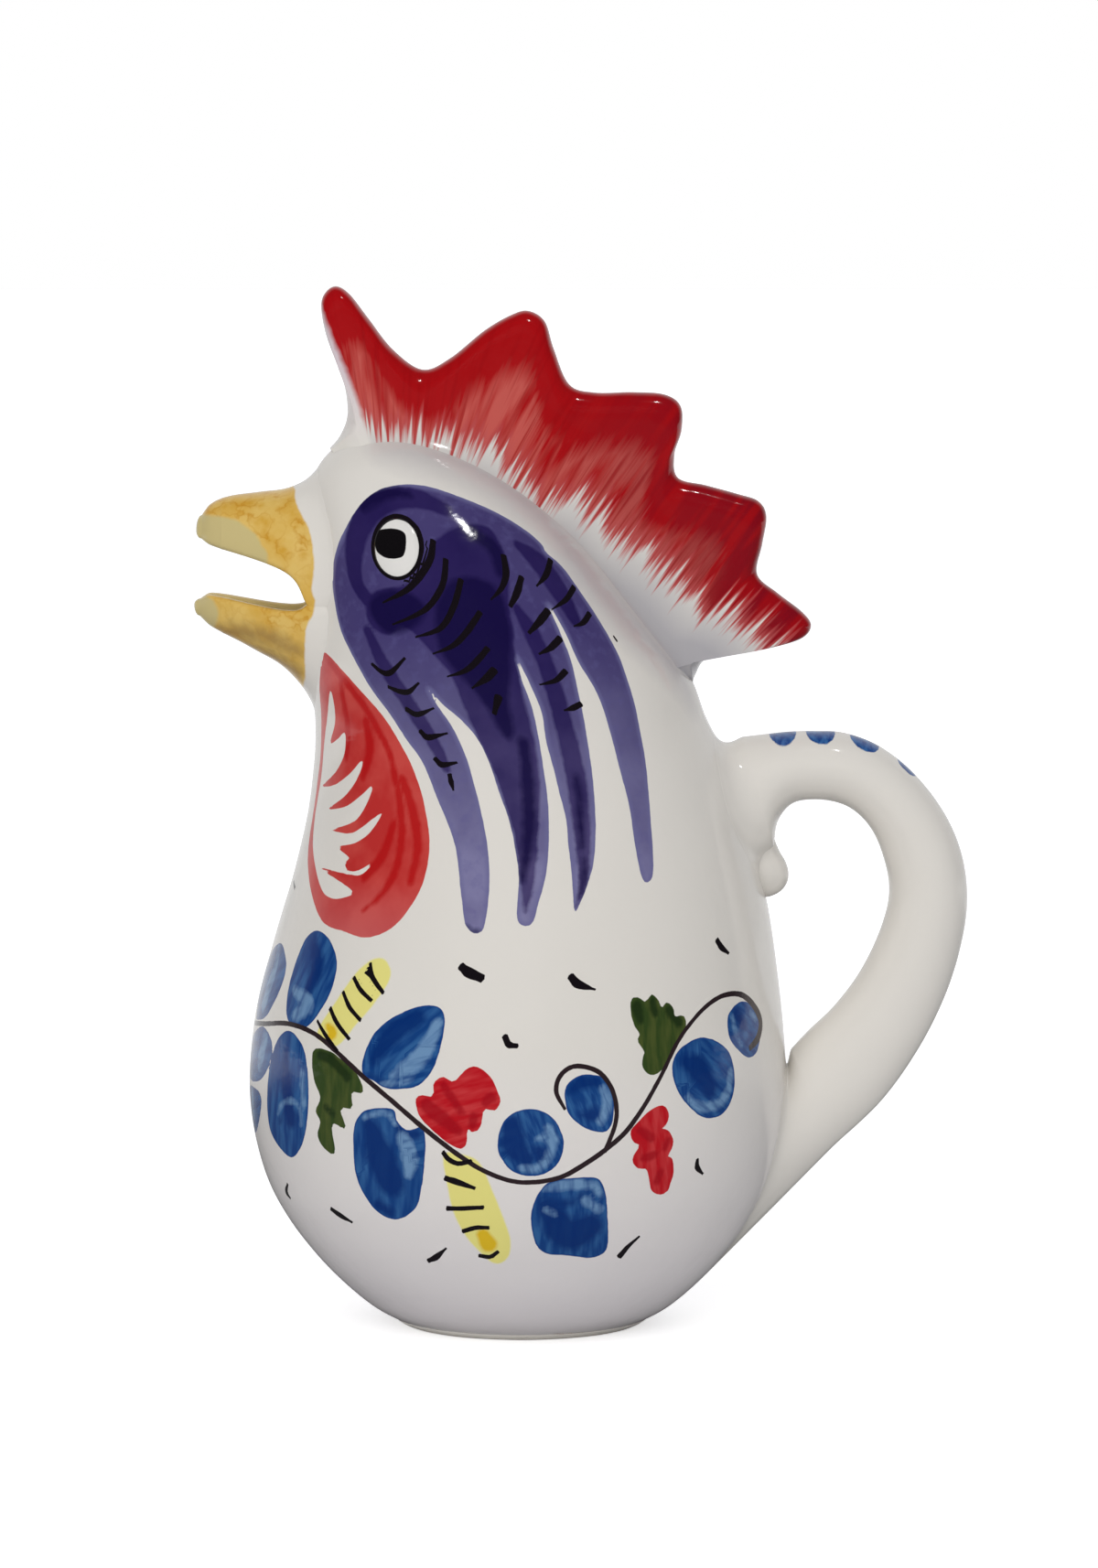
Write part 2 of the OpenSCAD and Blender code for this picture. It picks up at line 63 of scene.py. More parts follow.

# %% [markdown]
# ## Two helpers for curves
#
# A potter's profile has no kinks, but a table of measured places has. `through` runs a curve
# through the places without swinging past any of them, and `relax` then averages each point with
# its neighbours, as a wet rib does on the wheel. `round_curve` rounds a given line.


# %% Curve helpers
def through(t, y, x):
    """Cubic through the rows (t, y), read at x.

    Each slope is the harmonic mean of its two chords, and zero at a peak.
    """
    h, d = np.diff(t), np.diff(y, axis=0) / np.diff(t)[:, None]
    slope = np.zeros_like(y)
    same = d[:-1] * d[1:] > 0
    a, b = (2 * h[1:] + h[:-1])[:, None], (h[1:] + 2 * h[:-1])[:, None]
    safe = np.where(same, d[:-1] * d[1:], 1.0)
    slope[1:-1] = np.where(same, (a + b) * safe / (a * d[1:] + b * d[:-1] + TINY * ~same), 0.0)
    slope[0], slope[-1] = d[0], d[-1]
    i = np.clip(np.searchsorted(t, x, side="right") - 1, 0, len(t) - 2)
    s, hi = ((x - t[i]) / h[i])[:, None], h[i][:, None]
    return ((1 + 2 * s) * (1 - s) ** 2 * y[i] + s * (1 - s) ** 2 * hi * slope[i]
            + s * s * (3 - 2 * s) * y[i + 1] + s * s * (s - 1) * hi * slope[i + 1])


def relax(y, reach):
    """Averages the rows with a bell of that many rows. The ends are mirrored through themselves and stay."""
    n = int(3 * reach)
    bell = np.exp(-.5 * (np.arange(-n, n + 1) / reach) ** 2)
    bell /= bell.sum()
    long = np.concatenate([2 * y[0] - y[n:0:-1], y, 2 * y[-1] - y[-2:-n - 2:-1]])
    return np.stack([np.convolve(c, bell, "valid") for c in long.T], axis=1)


def round_curve(points, steps, closed=False):
    """Smooth curve through a list of rows.

    Between b and c it is 0.5 (2b + (c-a)t + (2a-5b+4c-d)t^2 + (3b-a-3c+d)t^3), with a before b and d after c.
    """
    p = np.asarray(points, float)
    n = len(p)
    k = np.arange(n if closed else n - 1)
    a, b, c, d = (p[(k + j) % n] if closed else p[np.clip(k + j, 0, n - 1)] for j in (-1, 0, 1, 2))
    t = (np.arange(steps) / steps)[None, :, None]
    a, b, c, d = (v[:, None, :] for v in (a, b, c, d))
    q = .5 * (2 * b + (c - a) * t + (2 * a - 5 * b + 4 * c - d) * t ** 2
               + (3 * b - a - 3 * c + d) * t ** 3)
    q = q.reshape(-1, p.shape[1])
    return q if closed else np.vstack([q, p[-1:]])


# %% [markdown]
# ## The jug's profile
#
# Seen from above, each level of the jug is an oval. Four numbers say where it is: its height, its
# front, its back and half its width. The tables below are shares of the sizes above.

# %% Profile tables
# under the widest level: share of the height, share of the way from the foot's radius to the belly's
under = np.array([[0, 0], [.035, .12], [.085, .23], [.16, .37], [.24, .5], [.32, .61], [.4, .71], [.48, .79],
                  [.56, .86], [.71, .94], [.86, .985]])
# over it: share of the height, share of the way from the neck's radius to the belly's, share of the lean
over = np.array([[0, 1, -.3], [.16, .945, -.25], [.26, .872, -.12], [.355, .776, .1], [.453, .672, .3],
                 [.55, .548, .45], [.65, .424, .45], [.747, .305, .35], [.844, .2, .05], [.916, .105, -.35],
                 [1, 0, -1]])
# the head: share of its height, front and back as shares of half the neck, side as a share of its side
head = np.array([[.065, -1.025, .975, .995], [.125, -1.038, .935, .985], [.19, -1.038, .885, .965],
                 [.25, -1.033, .813, .94], [.325, -1.028, .73, .905], [.412, -1.02, .632, .86],
                 [.51, -1.016, .525, .8], [.608, -1.018, .408, .73], [.706, -1.026, .262, .64],
                 [.804, -1.02, .09, .53], [.886, -.968, -.1, .415], [.951, -.87, -.3, .275],
                 [.984, -.75, -.44, .155]])


# %% The dense profile
def level_rows():
    """Rows of [height, front, back, half the width] from foot to crown, as the solid model has them."""
    r = foot_r + (belly_r - foot_r) * under[:, 1]
    c = over[0, 2] * neck_lean * under[:, 0]
    low = np.stack([foot_t + (belly_h - foot_t) * under[:, 0], c - r, c + r, r], axis=1)
    r, c = neck_half + (belly_r - neck_half) * over[:, 1], over[:, 2] * neck_lean
    mid = np.stack([belly_h + (neck_h - belly_h) * over[:, 0], c - r, c + r,
                    neck_side + (belly_r - neck_side) * over[:, 1]], axis=1)
    top = np.stack([neck_h + head_h * head[:, 0], neck_half * head[:, 1] - neck_lean,
                    neck_half * head[:, 2] - neck_lean, neck_side * head[:, 3]], axis=1)
    return np.vstack([low, mid, top, [[crown[2], crown[0], crown[0], 0]]])


PROFILE_ROWS, SOFTENED = 2600, 26.0
rows = level_rows()
middle_step = np.diff((rows[:, 2] - rows[:, 1]) / 2)
reach = np.concatenate([[0], np.cumsum(np.hypot(np.diff(rows[:, 0]), middle_step))])
profile_u = np.linspace(0, reach[-1], PROFILE_ROWS)
profile = relax(through(reach, rows, profile_u), SOFTENED)
profile[:, 0] = np.maximum.accumulate(profile[:, 0])
seam_u = np.interp(neck_h, profile[:, 0], profile_u)
print("the profile is", round(float(reach[-1]), 1), "mm long, the widest half",
      round(float(profile[:, 3].max()), 2))


def level(u):
    """Height, front, back and half width at a distance u along the profile."""
    return tuple(np.interp(u, profile_u, profile[:, k]) for k in range(4))


def oval(z):
    """Middle, half length and half width of the jug's oval at height z."""
    f, b, s = (np.interp(z, profile[:, 0], profile[:, k]) for k in (1, 2, 3))
    return (f + b) / 2, (b - f) / 2, s


def front_x(y, z):
    """x of the front surface at y and z: middle minus half length times sqrt(1 - (y / half width)^2)."""
    m, a, s = oval(z)
    return m - a * np.sqrt(np.clip(1 - (y / np.maximum(s, TINY)) ** 2, 0, 1))


def back_x(y, z):
    """The same for the back surface, towards the handle."""
    m, a, s = oval(z)
    return m + a * np.sqrt(np.clip(1 - (y / np.maximum(s, TINY)) ** 2, 0, 1))


def side_y(x, z):
    """Half width of the jug at x and z."""
    m, a, s = oval(z)
    return s * np.sqrt(np.clip(1 - ((x - m) / np.maximum(a, TINY)) ** 2, 0, 1))


# %% [markdown]
# ## From a grid to a mesh
#
# A closed piece is a stack of rings with a point at each end. `tube` joins such a stack, and
# `make_piece` turns it into an object, finds out from its volume whether its faces look outwards,
# and hides the solids that the piece stands for.


# %% Mesh helpers
def band(rings, n, start=0):
    """Quads between consecutive rings of n points."""
    i, j = np.meshgrid(np.arange(rings - 1), np.arange(n), indexing="ij")
    k = (j + 1) % n
    quads = np.stack([i * n + j, i * n + k, (i + 1) * n + k, (i + 1) * n + j], axis=-1)
    return (start + quads).reshape(-1, 4)


def tube(rings, first=None, last=None):
    """Points and faces of a skin through rings (m, n, 3), closed by a point at each end."""
    m, n = rings.shape[:2]
    first = rings[0].mean(axis=0) if first is None else first
    last = rings[-1].mean(axis=0) if last is None else last
    points = np.vstack([rings.reshape(-1, 3), [first, last]])
    j = np.arange(n)
    k = (j + 1) % n
    caps = np.vstack([np.stack([k, j, np.full(n, m * n)], axis=1),
                      np.stack([(m - 1) * n + j, (m - 1) * n + k, np.full(n, m * n + 1)], axis=1)])
    return points, [band(m, n), caps]


def volume(points, faces):
    """Sum over triangles of a . (b x c) / 6."""
    total = 0.0
    for f in faces:
        for t in ([f] if f.shape[1] == 3 else [f[:, [0, 1, 2]], f[:, [0, 2, 3]]]):
            a, b, c = (points[t[:, k]] for k in range(3))
            total += np.einsum("ij,ij->i", a, np.cross(b, c)).sum() / 6
    return total


def make_piece(name, points, faces, nodes, slot, fields=None):
    """Makes the object, in metres, with its paint distances as attributes."""
    size = volume(points, faces)
    if size < 0:
        faces = [f[:, ::-1] for f in faces]
    mesh = bpy.data.meshes.new(name)
    mesh.from_pydata((points * MM).tolist(), [], [t for f in faces for t in f.tolist()])
    mesh.update()
    mesh.shade_smooth()
    obj = bpy.data.objects.new(name, mesh)
    bpy.context.scene.collection.objects.link(obj)
    for key, values in (fields or {}).items():
        attribute = mesh.attributes.new(key, "FLOAT", "POINT")
        attribute.data.foreach_set("value", np.asarray(values, np.float32))
    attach(obj, "root")
    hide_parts(*nodes)
    print(name, len(points), "points,", round(abs(size) / 1000, 1), "cm3")
    return obj


# %% [markdown]
# ## The camera comes before the paint
#
# The brush marks are read off the photograph, so the camera's place is needed to lay them on the
# jug. A long lens stands 1.5 m away and looks a little down. `seen` follows the line of sight from
# a place in the picture to the near side of the jug, and gives it as two lengths: along the skin
# from the middle of that side, and up. A mark kept in these lengths goes round the jug as paint does.

# %% Camera numbers and the line of sight
FRAME_W, FRAME_H = 1200, 1714   # the picture, in dots
MM_PER_DOT = .22
middle_dot, ground_dot = 570, 1449   # where the jug's axis and its foot are in the picture
view_far, view_tilt = 1500.0, math.radians(5.0)
view_aim = np.array([(FRAME_W / 2 - middle_dot) * MM_PER_DOT, 0.0, (ground_dot - FRAME_H / 2) * MM_PER_DOT])
view_way = np.array([0.0, math.cos(view_tilt), -math.sin(view_tilt)])
view_up = np.array([0.0, math.sin(view_tilt), math.cos(view_tilt)])
view_from = view_aim - view_way * view_far
print("the camera stands at", view_from.round(1), "mm")


def sight(dots, y):
    """Where the lines of sight through picture places meet planes of constant y: (x, z)."""
    d = np.asarray(dots, float)
    ray = (view_way + (d[:, :1] - FRAME_W / 2) * MM_PER_DOT / view_far * np.array([1.0, 0, 0])
           - (d[:, 1:2] - FRAME_H / 2) * MM_PER_DOT / view_far * view_up)
    t = (y - view_from[1]) / ray[:, 1]
    hit = view_from + ray * t[:, None]
    return hit[:, 0], hit[:, 2]


def skin_place(x, z):
    """[length along the skin from the side's middle, height] of a place on either side.

    The length is the mean radius times the angle. Past the skin's edge it goes on at a steady rate.
    """
    past_edge = 2.5
    m, a, s = oval(z)
    k = (x - m) / np.maximum(a, TINY)
    turn = np.arcsin(np.clip(k, -1, 1)) + np.sign(k) * np.maximum(np.abs(k) - 1, 0) * past_edge
    return np.stack([turn * (a + s) / 2, z], axis=1)


def seen(dots):
    """Picture places to skin places, by going along the line of sight until it meets the near side."""
    y = np.full(len(dots), -50.0)   # a first guess, which each round replaces
    for _ in range(8):
        x, z = sight(dots, y)
        y = -side_y(x, z)
    return skin_place(x, z)


# %% [markdown]
# ## Brush marks as distances
#
# A mark is either a stroke, a line of places with half a brush's width at each, or a patch, the
# outline of a blot. For each point of the skin the distance to the mark's edge is worked out, and
# it is positive inside. The material cuts at zero, so an edge stays sharp when the camera comes
# close, which a painted colour at each point would not.


# %% Distance to a stroke and to a patch
def stroke_depth(p, line):
    """Half width minus distance to the nearest piece of the line, per point."""
    a, b = line[:-1], line[1:]
    d = b[:, :2] - a[:, :2]
    t = np.clip(((p[:, None, :] - a[None, :, :2]) * d).sum(-1) / np.maximum((d * d).sum(-1), TINY), 0, 1)
    off = p[:, None, :] - a[None, :, :2] - t[..., None] * d
    return (a[:, 2] + t * (b[:, 2] - a[:, 2]) - np.hypot(off[..., 0], off[..., 1])).max(axis=1)


def line_place(p, line):
    """For thin lines: depth as above, the signed offset from the middle line, and the half width there.

    The offset's sign is that of the cross product with the line's direction.
    """
    a, b = line[:-1], line[1:]
    d = b[:, :2] - a[:, :2]
    long = np.maximum(np.hypot(d[:, 0], d[:, 1]), TINY)
    raw = ((p[:, None, :] - a[None, :, :2]) * d).sum(-1) / long ** 2
    t = np.clip(raw, 0, 1)
    off = p[:, None, :] - a[None, :, :2] - t[..., None] * d
    half = a[:, 2] + t * (b[:, 2] - a[:, 2])
    away = np.hypot(off[..., 0], off[..., 1])
    best = (half - away).argmax(axis=1)
    row = np.arange(len(p))
    cross = ((p[:, None, 0] - a[:, 0]) * d[:, 1] - (p[:, None, 1] - a[:, 1]) * d[:, 0]) / long
    past = ((best == 0) & (raw[row, best] < 0)) | ((best == len(a) - 1) & (raw[row, best] > 1))
    side = np.where(past, cross[row, best], np.copysign(away[row, best], cross[row, best]))
    return (half - away)[row, best], side, half[row, best]


def patch_depth(p, line):
    """Distance to a closed line, negative outside.

    A point is inside if a level line from it crosses the closed line an odd number of times.
    """
    a, b = line, np.roll(line, -1, axis=0)
    d = b - a
    t = np.clip(((p[:, None, :] - a) * d).sum(-1) / np.maximum((d * d).sum(-1), TINY), 0, 1)
    off = p[:, None, :] - a - t[..., None] * d
    near = np.hypot(off[..., 0], off[..., 1]).min(axis=1)
    above = (a[None, :, 1] > p[:, 1:]) != (b[None, :, 1] > p[:, 1:])
    with np.errstate(divide="ignore", invalid="ignore"):
        cut = a[:, 0] + (p[:, 1:] - a[:, 1]) * d[:, 0] / d[:, 1]
    inside = (above & (p[:, :1] < cut)).sum(axis=1) % 2 == 1
    return np.where(inside, near, -near)


# %% How a mark is written down, rounded and placed
FAR = -9.0                                  # the depth where no mark is near
NO_LINE = np.array([[FAR], [9.0], [0.0]])   # the depth, offset and half width where no line is near
STROKE_ROOM, PATCH_ROOM = 7.0, 4.0          # how far around a mark its distance is worked out, in mm
BATCH, LINE_BATCH = 4_000_000, 2_000_000    # point and segment pairs in one go
STEPS, PATCH_STEPS = 6, 5                   # points on the curve from one chosen place to the next
front_gap, end_round = 3.0, 6.0             # between a leaf and the middle plane, in mm


def stroke(*numbers):
    """A brush stroke from flat numbers: x, y and half the brush's width, place after place."""
    return np.array(numbers, float).reshape(-1, 3)


def outline(*numbers):
    """A blot's outline from flat numbers: x and y, place after place."""
    return np.array(numbers, float).reshape(-1, 2)


def short_of_middle(line):
    """Keeps an outline off the jug's middle plane.

    The gap grows to the outline's top and bottom with the square of the way there, so that it ends round.
    """
    _, a, s = oval(line[:, 1])
    z = line[:, 1] - (line[:, 1].max() + line[:, 1].min()) / 2
    limit = math.pi / 4 * (a + s) - front_gap - end_round * (z / np.abs(z).max()) ** 2
    return np.column_stack([np.clip(line[:, 0], -limit, limit), line[:, 1]])


def near_mark(p, line, room):
    """Numbers of the points in a mark's box, which is larger by room."""
    low, high = line[:, :2].min(axis=0) - room, line[:, :2].max(axis=0) + room
    return np.flatnonzero(((p > low) & (p < high)).all(axis=1))


def brush_place(p, line):
    """Place along and across a mark's longest direction, as shares of its half length."""
    middle = line[:, :2].mean(axis=0)
    axis = np.linalg.svd(line[:, :2] - middle, full_matrices=False)[2][0]
    span = np.abs((line[:, :2] - middle) @ axis).max()
    off = p - middle
    return np.stack([off @ axis / span, off @ np.array([-axis[1], axis[0]]) / span], axis=1)


def stroke_line(shape, way):
    """A stroke's rounded line, laid in the given way, with half its width in mm."""
    return round_curve(np.column_stack([way(shape[:, :2]), shape[:, 2] * MM_PER_DOT]), STEPS)


# %% Laying many marks over one field
def lay(depth, p, shapes, way, brush=None):
    """Lays shapes over one field: the deepest wins. With brush, it also keeps each shape's own directions."""
    for shape in shapes:
        if shape.shape[1] == 3:
            line = stroke_line(shape, way)
            room, measure = STROKE_ROOM + line[:, 2].max(), stroke_depth
        else:
            line = round_curve(way(shape), PATCH_STEPS, closed=True)
            line = short_of_middle(line) if way is seen else line
            room, measure = PATCH_ROOM, patch_depth
        near = near_mark(p, line, room)
        if not len(near):
            continue
        parts = np.array_split(near, 1 + len(near) * len(line) // BATCH)
        found = np.concatenate([measure(p[part], line) for part in parts])
        if brush is not None:
            better = found > depth[near]
            brush[near[better]] = brush_place(p[near[better]], line)
        depth[near] = np.maximum(depth[near], found)
    return depth


def lay_lines(p, shapes, way):
    """The three numbers of line_place for the nearest of many thin lines."""
    kept = NO_LINE * np.ones(len(p))
    for shape in shapes:
        line = stroke_line(shape, way)
        near = near_mark(p, line, PATCH_ROOM)
        if len(near):
            parts = np.array_split(near, 1 + len(near) * len(line) // LINE_BATCH)
            found = np.concatenate([np.stack(line_place(p[part], line)) for part in parts], axis=1)
            better = found[0] > kept[0, near]
            kept[:, near[better]] = found[:, better]
    return kept


# %% [markdown]
# ## The feathers, the wattle and the vine
#
# Every place here was chosen on the photograph, in its own dots. An outline lists x and y,
# and a stroke adds half a width. The painter worked in layers: a thin lilac wash for the feathers,
# two darker coats over it, and black hatching on top. The vine's leaves are single loaded strokes.

# %% Feathers
# the wash: over the brow, down the back of the neck, and round the three long tips
feather_wash = [
    outline(437, 530, 456, 530, 476, 534, 510, 546, 546, 562, 575, 580, 592, 595, 597, 604, 614, 619,
            633, 645, 653, 675, 672, 708, 684, 738, 694, 771, 701, 806, 707, 845, 709, 869, 712, 907,
            714, 939, 713, 958, 707, 965, 702, 960, 698, 945, 693, 917, 687, 878, 677, 840, 667, 801,
            653, 759, 633, 725, 619, 694, 604, 667, 600, 664, 609, 684, 621, 713, 631, 752, 639, 791,
            646, 836, 650, 878, 651, 907, 649, 941, 643, 964, 635, 985, 628, 997, 626, 974, 624, 947,
            621, 922, 619, 897, 612, 869, 604, 837, 597, 810, 592, 779, 582, 754, 571, 731, 564, 719,
            570, 742, 580, 769, 588, 803, 594, 840, 599, 880, 599, 936, 595, 964, 588, 989, 582, 1009,
            572, 1012, 565, 1004, 566, 980, 567, 955, 562, 922, 555, 892, 545, 865, 534, 832, 522, 808,
            505, 788, 485, 771, 469, 754, 478, 771, 495, 796, 508, 824, 518, 857, 526, 888, 532, 920,
            535, 955, 533, 990, 528, 1016, 518, 1020, 510, 1013, 507, 1003, 503, 970, 499, 932, 492, 907,
            478, 873, 461, 832, 444, 808, 425, 779, 405, 752, 386, 718, 371, 684, 364, 645, 364, 620,
            369, 597, 379, 575, 393, 553, 413, 536)]
# the first darker coat, and the second where the brush was set down once more
feather_coat = [
    stroke(485, 556, 8, 456, 545, 11, 427, 546, 11, 403, 561, 11, 390, 585, 11, 386, 614, 11, 391, 640, 10,
           408, 662, 9),
    outline(402, 657, 413, 645, 449, 636, 471, 597, 490, 580, 510, 573, 534, 577, 548, 597, 556, 621,
            556, 655, 561, 689, 563, 718, 573, 767, 585, 815, 590, 859, 589, 897, 587, 936, 582, 974,
            573, 999, 569, 962, 564, 926, 555, 888, 538, 840, 523, 808, 508, 775, 495, 742, 476, 718,
            454, 694, 438, 684, 424, 694, 407, 686, 400, 670),
    stroke(565, 665, 5, 580, 690, 9, 594, 720, 9.5, 606, 755, 9.5, 616, 791, 10, 626, 832, 10.5,
           633, 878, 10, 637, 917, 8.5, 638, 950, 6, 636, 974, 3.5, 629, 992, 1.5),
    stroke(566, 596, 5, 590, 616, 12, 612, 648, 12, 629, 679, 7),
    stroke(402, 690, 6, 420, 728, 9, 446, 768, 9, 470, 806, 8, 488, 840, 5)]
feather_deep = [
    outline(478, 657, 495, 634, 524, 632, 548, 650, 558, 689, 559, 718, 558, 742, 556, 767, 561, 800,
            552, 806, 524, 762, 497, 733, 483, 713, 476, 689),
    outline(403, 662, 422, 645, 451, 650, 466, 670, 445, 689, 420, 690),
    stroke(396, 556, 4, 410, 544, 7, 428, 538, 6, 446, 540, 4),
    stroke(572, 812, 6, 577, 860, 7, 578, 905, 6.5, 574, 940, 5, 571, 962, 2.5),
    stroke(638, 940, 3, 638, 962, 3.4, 633, 980, 1.6),
    stroke(630, 850, 3, 634, 890, 4, 636, 925, 3),
    stroke(520, 585, 8, 540, 600, 8, 548, 626, 6),
    stroke(509, 1013, 1.8, 516, 1018, 2.2, 523, 1018, 1.5)]
# black hatches, each set down thick and lifted off thin
hatching = [
    stroke(473, 594, 2.6, 468, 616, 3.2, 447, 643, 2.8, 420, 658, .8),
    stroke(487, 615, 2.6, 483, 641, 2.8, 464, 667, 2.4, 431, 682, .8),
    stroke(503, 637, 2.6, 495, 665, 2.8, 481, 687, 2.4, 456, 696, .8),
    stroke(523, 672, 2.6, 510, 691, 2.8, 495, 706, 2.2, 475, 714, .8),
    stroke(531, 711, 2.6, 519, 725, 2.7, 507, 734, 2.2, 491, 739, .8),
    stroke(538, 735, 3.6, 531, 742, 3.4, 518, 751, .9),
    stroke(544, 765, 3.6, 541, 777, 2.2),
    stroke(551, 611, 2.8, 553, 628, 3.2, 548, 643, 2.4, 538, 654, .8),
    stroke(569, 634, 2.8, 565, 648, 3.4, 559, 660, 2.2),
    stroke(597, 670, 3.4, 590, 679, 3.4, 580, 690, 1.8),
    stroke(610, 700, 3.2, 602, 708, 2.8, 591, 714, 1),
    stroke(616, 736, 3, 607, 744, 2.4, 592, 748, .8),
    stroke(632, 771, 2.8, 626, 774, 2.8, 619, 776, 1),
    stroke(601, 615, 2.8, 597, 628, 3, 588, 639, 1),
    stroke(626, 644, 2.8, 619, 655, 2.4, 605, 665, .8),
    stroke(643, 673, 2.8, 637, 681, 2.4, 629, 684, .8),
    stroke(672.4, 698, 1.2, 672.6, 698.3, 1.2),
    stroke(409, 728, 2, 418, 735, 2.6, 427, 735, 2.6, 441, 721, 1.2),
    stroke(427, 752, 1.8, 437, 756, 2.6, 447, 756, 2.4, 456, 748, 1.1),
    stroke(447, 777, 2.6, 456, 781, 2.8, 472, 775, 1),
    stroke(462, 802, 2.6, 468, 806, 3, 487, 802, 1),
    stroke(478, 832, 2.6, 483, 836, 3, 497, 834, 1.2),
    stroke(492, 850, 2.2, 493, 855, 2.8, 495, 862, 1)]
# painted shade: grey laid in the hollow between head and comb, where shade falls under the comb
hollow_shade = [
    stroke(420, 492, 5, 462, 497, 14, 518, 512, 24, 590, 562, 30, 636, 618, 32, 690, 680, 30, 740, 735, 20,
           752, 760, 8)]
print(len(feather_coat) + len(feather_deep), "darker touches and", len(hatching), "hatches on the feathers")

# %% Wattle
# the red wash, the slits and barbs left bare in it, and the deeper red over it
wattle_wash = [
    outline(354, 713, 371, 729, 396, 757, 421, 786, 442, 821, 458, 858, 467, 897, 469, 931, 462, 966,
            446, 995, 426, 1016, 400, 1025, 375, 1018, 354, 1009, 343, 986, 337, 954, 337, 926, 341, 897,
            346, 862, 350, 828, 351, 782, 350, 736)]
wattle_bare = [
    outline(361, 755, 358, 782, 354, 816, 351, 850, 345, 887, 342, 920, 345, 949, 352, 973, 363, 982,
            376, 981, 386, 976, 375, 966, 353, 951, 354, 949, 377, 955, 391, 957, 399, 953, 406, 944,
            391, 952, 380, 951, 377, 943, 382, 938, 368, 926, 370, 925, 389, 921, 405, 909, 417, 889,
            396, 904, 382, 911, 364, 908, 365, 906, 387, 898, 400, 880, 407, 859, 393, 871, 377, 882,
            359, 885, 360, 883, 377, 870, 391, 850, 396, 831, 382, 846, 366, 858, 352, 860, 353, 858,
            366, 845, 376, 825, 377, 801, 369, 808, 361, 812, 366, 791, 365, 770)]
wattle_coat = [
    stroke(355, 717, 4, 372, 738, 5.5, 393, 765, 5, 411, 794, 5, 425, 822, 4, 431, 852, 3),
    stroke(424, 816, 3, 432, 850, 4.5, 438, 885, 5, 438, 925, 5, 430, 957, 4.5, 415, 980, 3, 396, 996, 1.5),
    stroke(440, 852, 5, 452, 890, 6, 456, 930, 5, 448, 965, 4),
    stroke(400, 788, 5, 404, 820, 6, 396, 850, 4),
    stroke(372, 742, 3, 376, 770, 5, 380, 800, 5, 378, 830, 3),
    stroke(430, 900, 4, 418, 935, 6, 398, 960, 5)]
print("the wattle's wash has", len(wattle_wash[0]), "places around it, its bare slits", len(wattle_bare[0]))

# %% The vine and its blue leaves and berries
# the stem, its side twig, and all that hangs on them in blue
vine = [
    stroke(268, 1120, 2.6, 289, 1119, 2.6, 315, 1119, 2.6, 342, 1129, 2.7, 367, 1149, 2.8, 397, 1177, 2.8,
           429, 1204, 2.8, 464, 1234, 2.8, 496, 1259, 2.7, 527, 1279, 2.6, 559, 1291, 2.6, 587, 1292, 2.6,
           615, 1286, 2.7, 643, 1270, 2.8, 664, 1255, 2.8, 684, 1237, 2.7, 704, 1209, 2.6, 725, 1171, 2.5,
           740, 1140, 2.5, 756, 1117, 2.5, 773, 1099, 2.6, 791, 1088, 2.7, 809, 1087, 3, 822, 1097, 3.8,
           831, 1115, 4.8, 829, 1133, 5, 821, 1144, 3.4)]
twig = [
    stroke(662, 1256, 2.4, 671, 1234, 2.5, 674, 1214, 2.6, 669, 1191, 2.6, 656, 1173, 2.6, 638, 1166, 2.6,
           623, 1167, 2.6, 611, 1178, 2.5, 608, 1194, 2.4, 616, 1210, 1.8)]
blue_marks = [
    outline(347, 1017, 360, 1027, 368, 1050, 364, 1077, 352, 1102, 335, 1123, 320, 1122, 313, 1107,
            316, 1077, 325, 1047, 335, 1025),
    outline(317, 1127, 330, 1142, 336, 1169, 337, 1209, 332, 1246, 320, 1265, 307, 1256, 295, 1234,
            292, 1197, 296, 1159, 305, 1134),
    outline(396, 1172, 399, 1149, 414, 1124, 439, 1107, 464, 1099, 481, 1102, 486, 1117, 481, 1147,
            471, 1172, 454, 1188, 424, 1190, 409, 1182),
    outline(399, 1214, 419, 1211, 431, 1214, 434, 1226, 444, 1235, 454, 1234, 461, 1231, 465, 1251,
            461, 1296, 454, 1321, 434, 1333, 414, 1326, 397, 1304, 388, 1279, 386, 1246, 389, 1226),
    outline(579, 1212, 603, 1221, 616, 1247, 609, 1273, 588, 1285, 563, 1282, 546, 1263, 545, 1240,
            556, 1220),
    outline(618, 1189, 633, 1176, 648, 1175, 664, 1180, 671, 1194, 670, 1222, 664, 1236, 651, 1237,
            633, 1229, 620, 1214),
    outline(595, 1296, 613, 1289, 638, 1287, 653, 1288, 661, 1301, 664, 1329, 664, 1362, 656, 1372,
            643, 1375, 618, 1372, 600, 1371, 587, 1362, 581, 1342, 582, 1319),
    outline(735, 1163, 745, 1145, 766, 1134, 786, 1140, 799, 1155, 803, 1183, 798, 1206, 786, 1220,
            768, 1221, 750, 1206, 738, 1186),
    outline(795, 1122, 797, 1107, 809, 1095, 822, 1099, 829, 1115, 831, 1132, 827, 1150, 818, 1156,
            809, 1150, 799, 1138),
    outline(305, 1031, 312, 1045, 311, 1067, 300, 1095, 287, 1114, 279, 1108, 280, 1085, 290, 1055),
    outline(285, 1122, 297, 1139, 293, 1167, 282, 1182, 273, 1176, 271, 1150),
    outline(270, 1186, 282, 1192, 285, 1214, 280, 1238, 273, 1230, 268, 1210)]
print("the vine is drawn through", len(vine[0]), "places and carries", len(blue_marks), "blue marks")

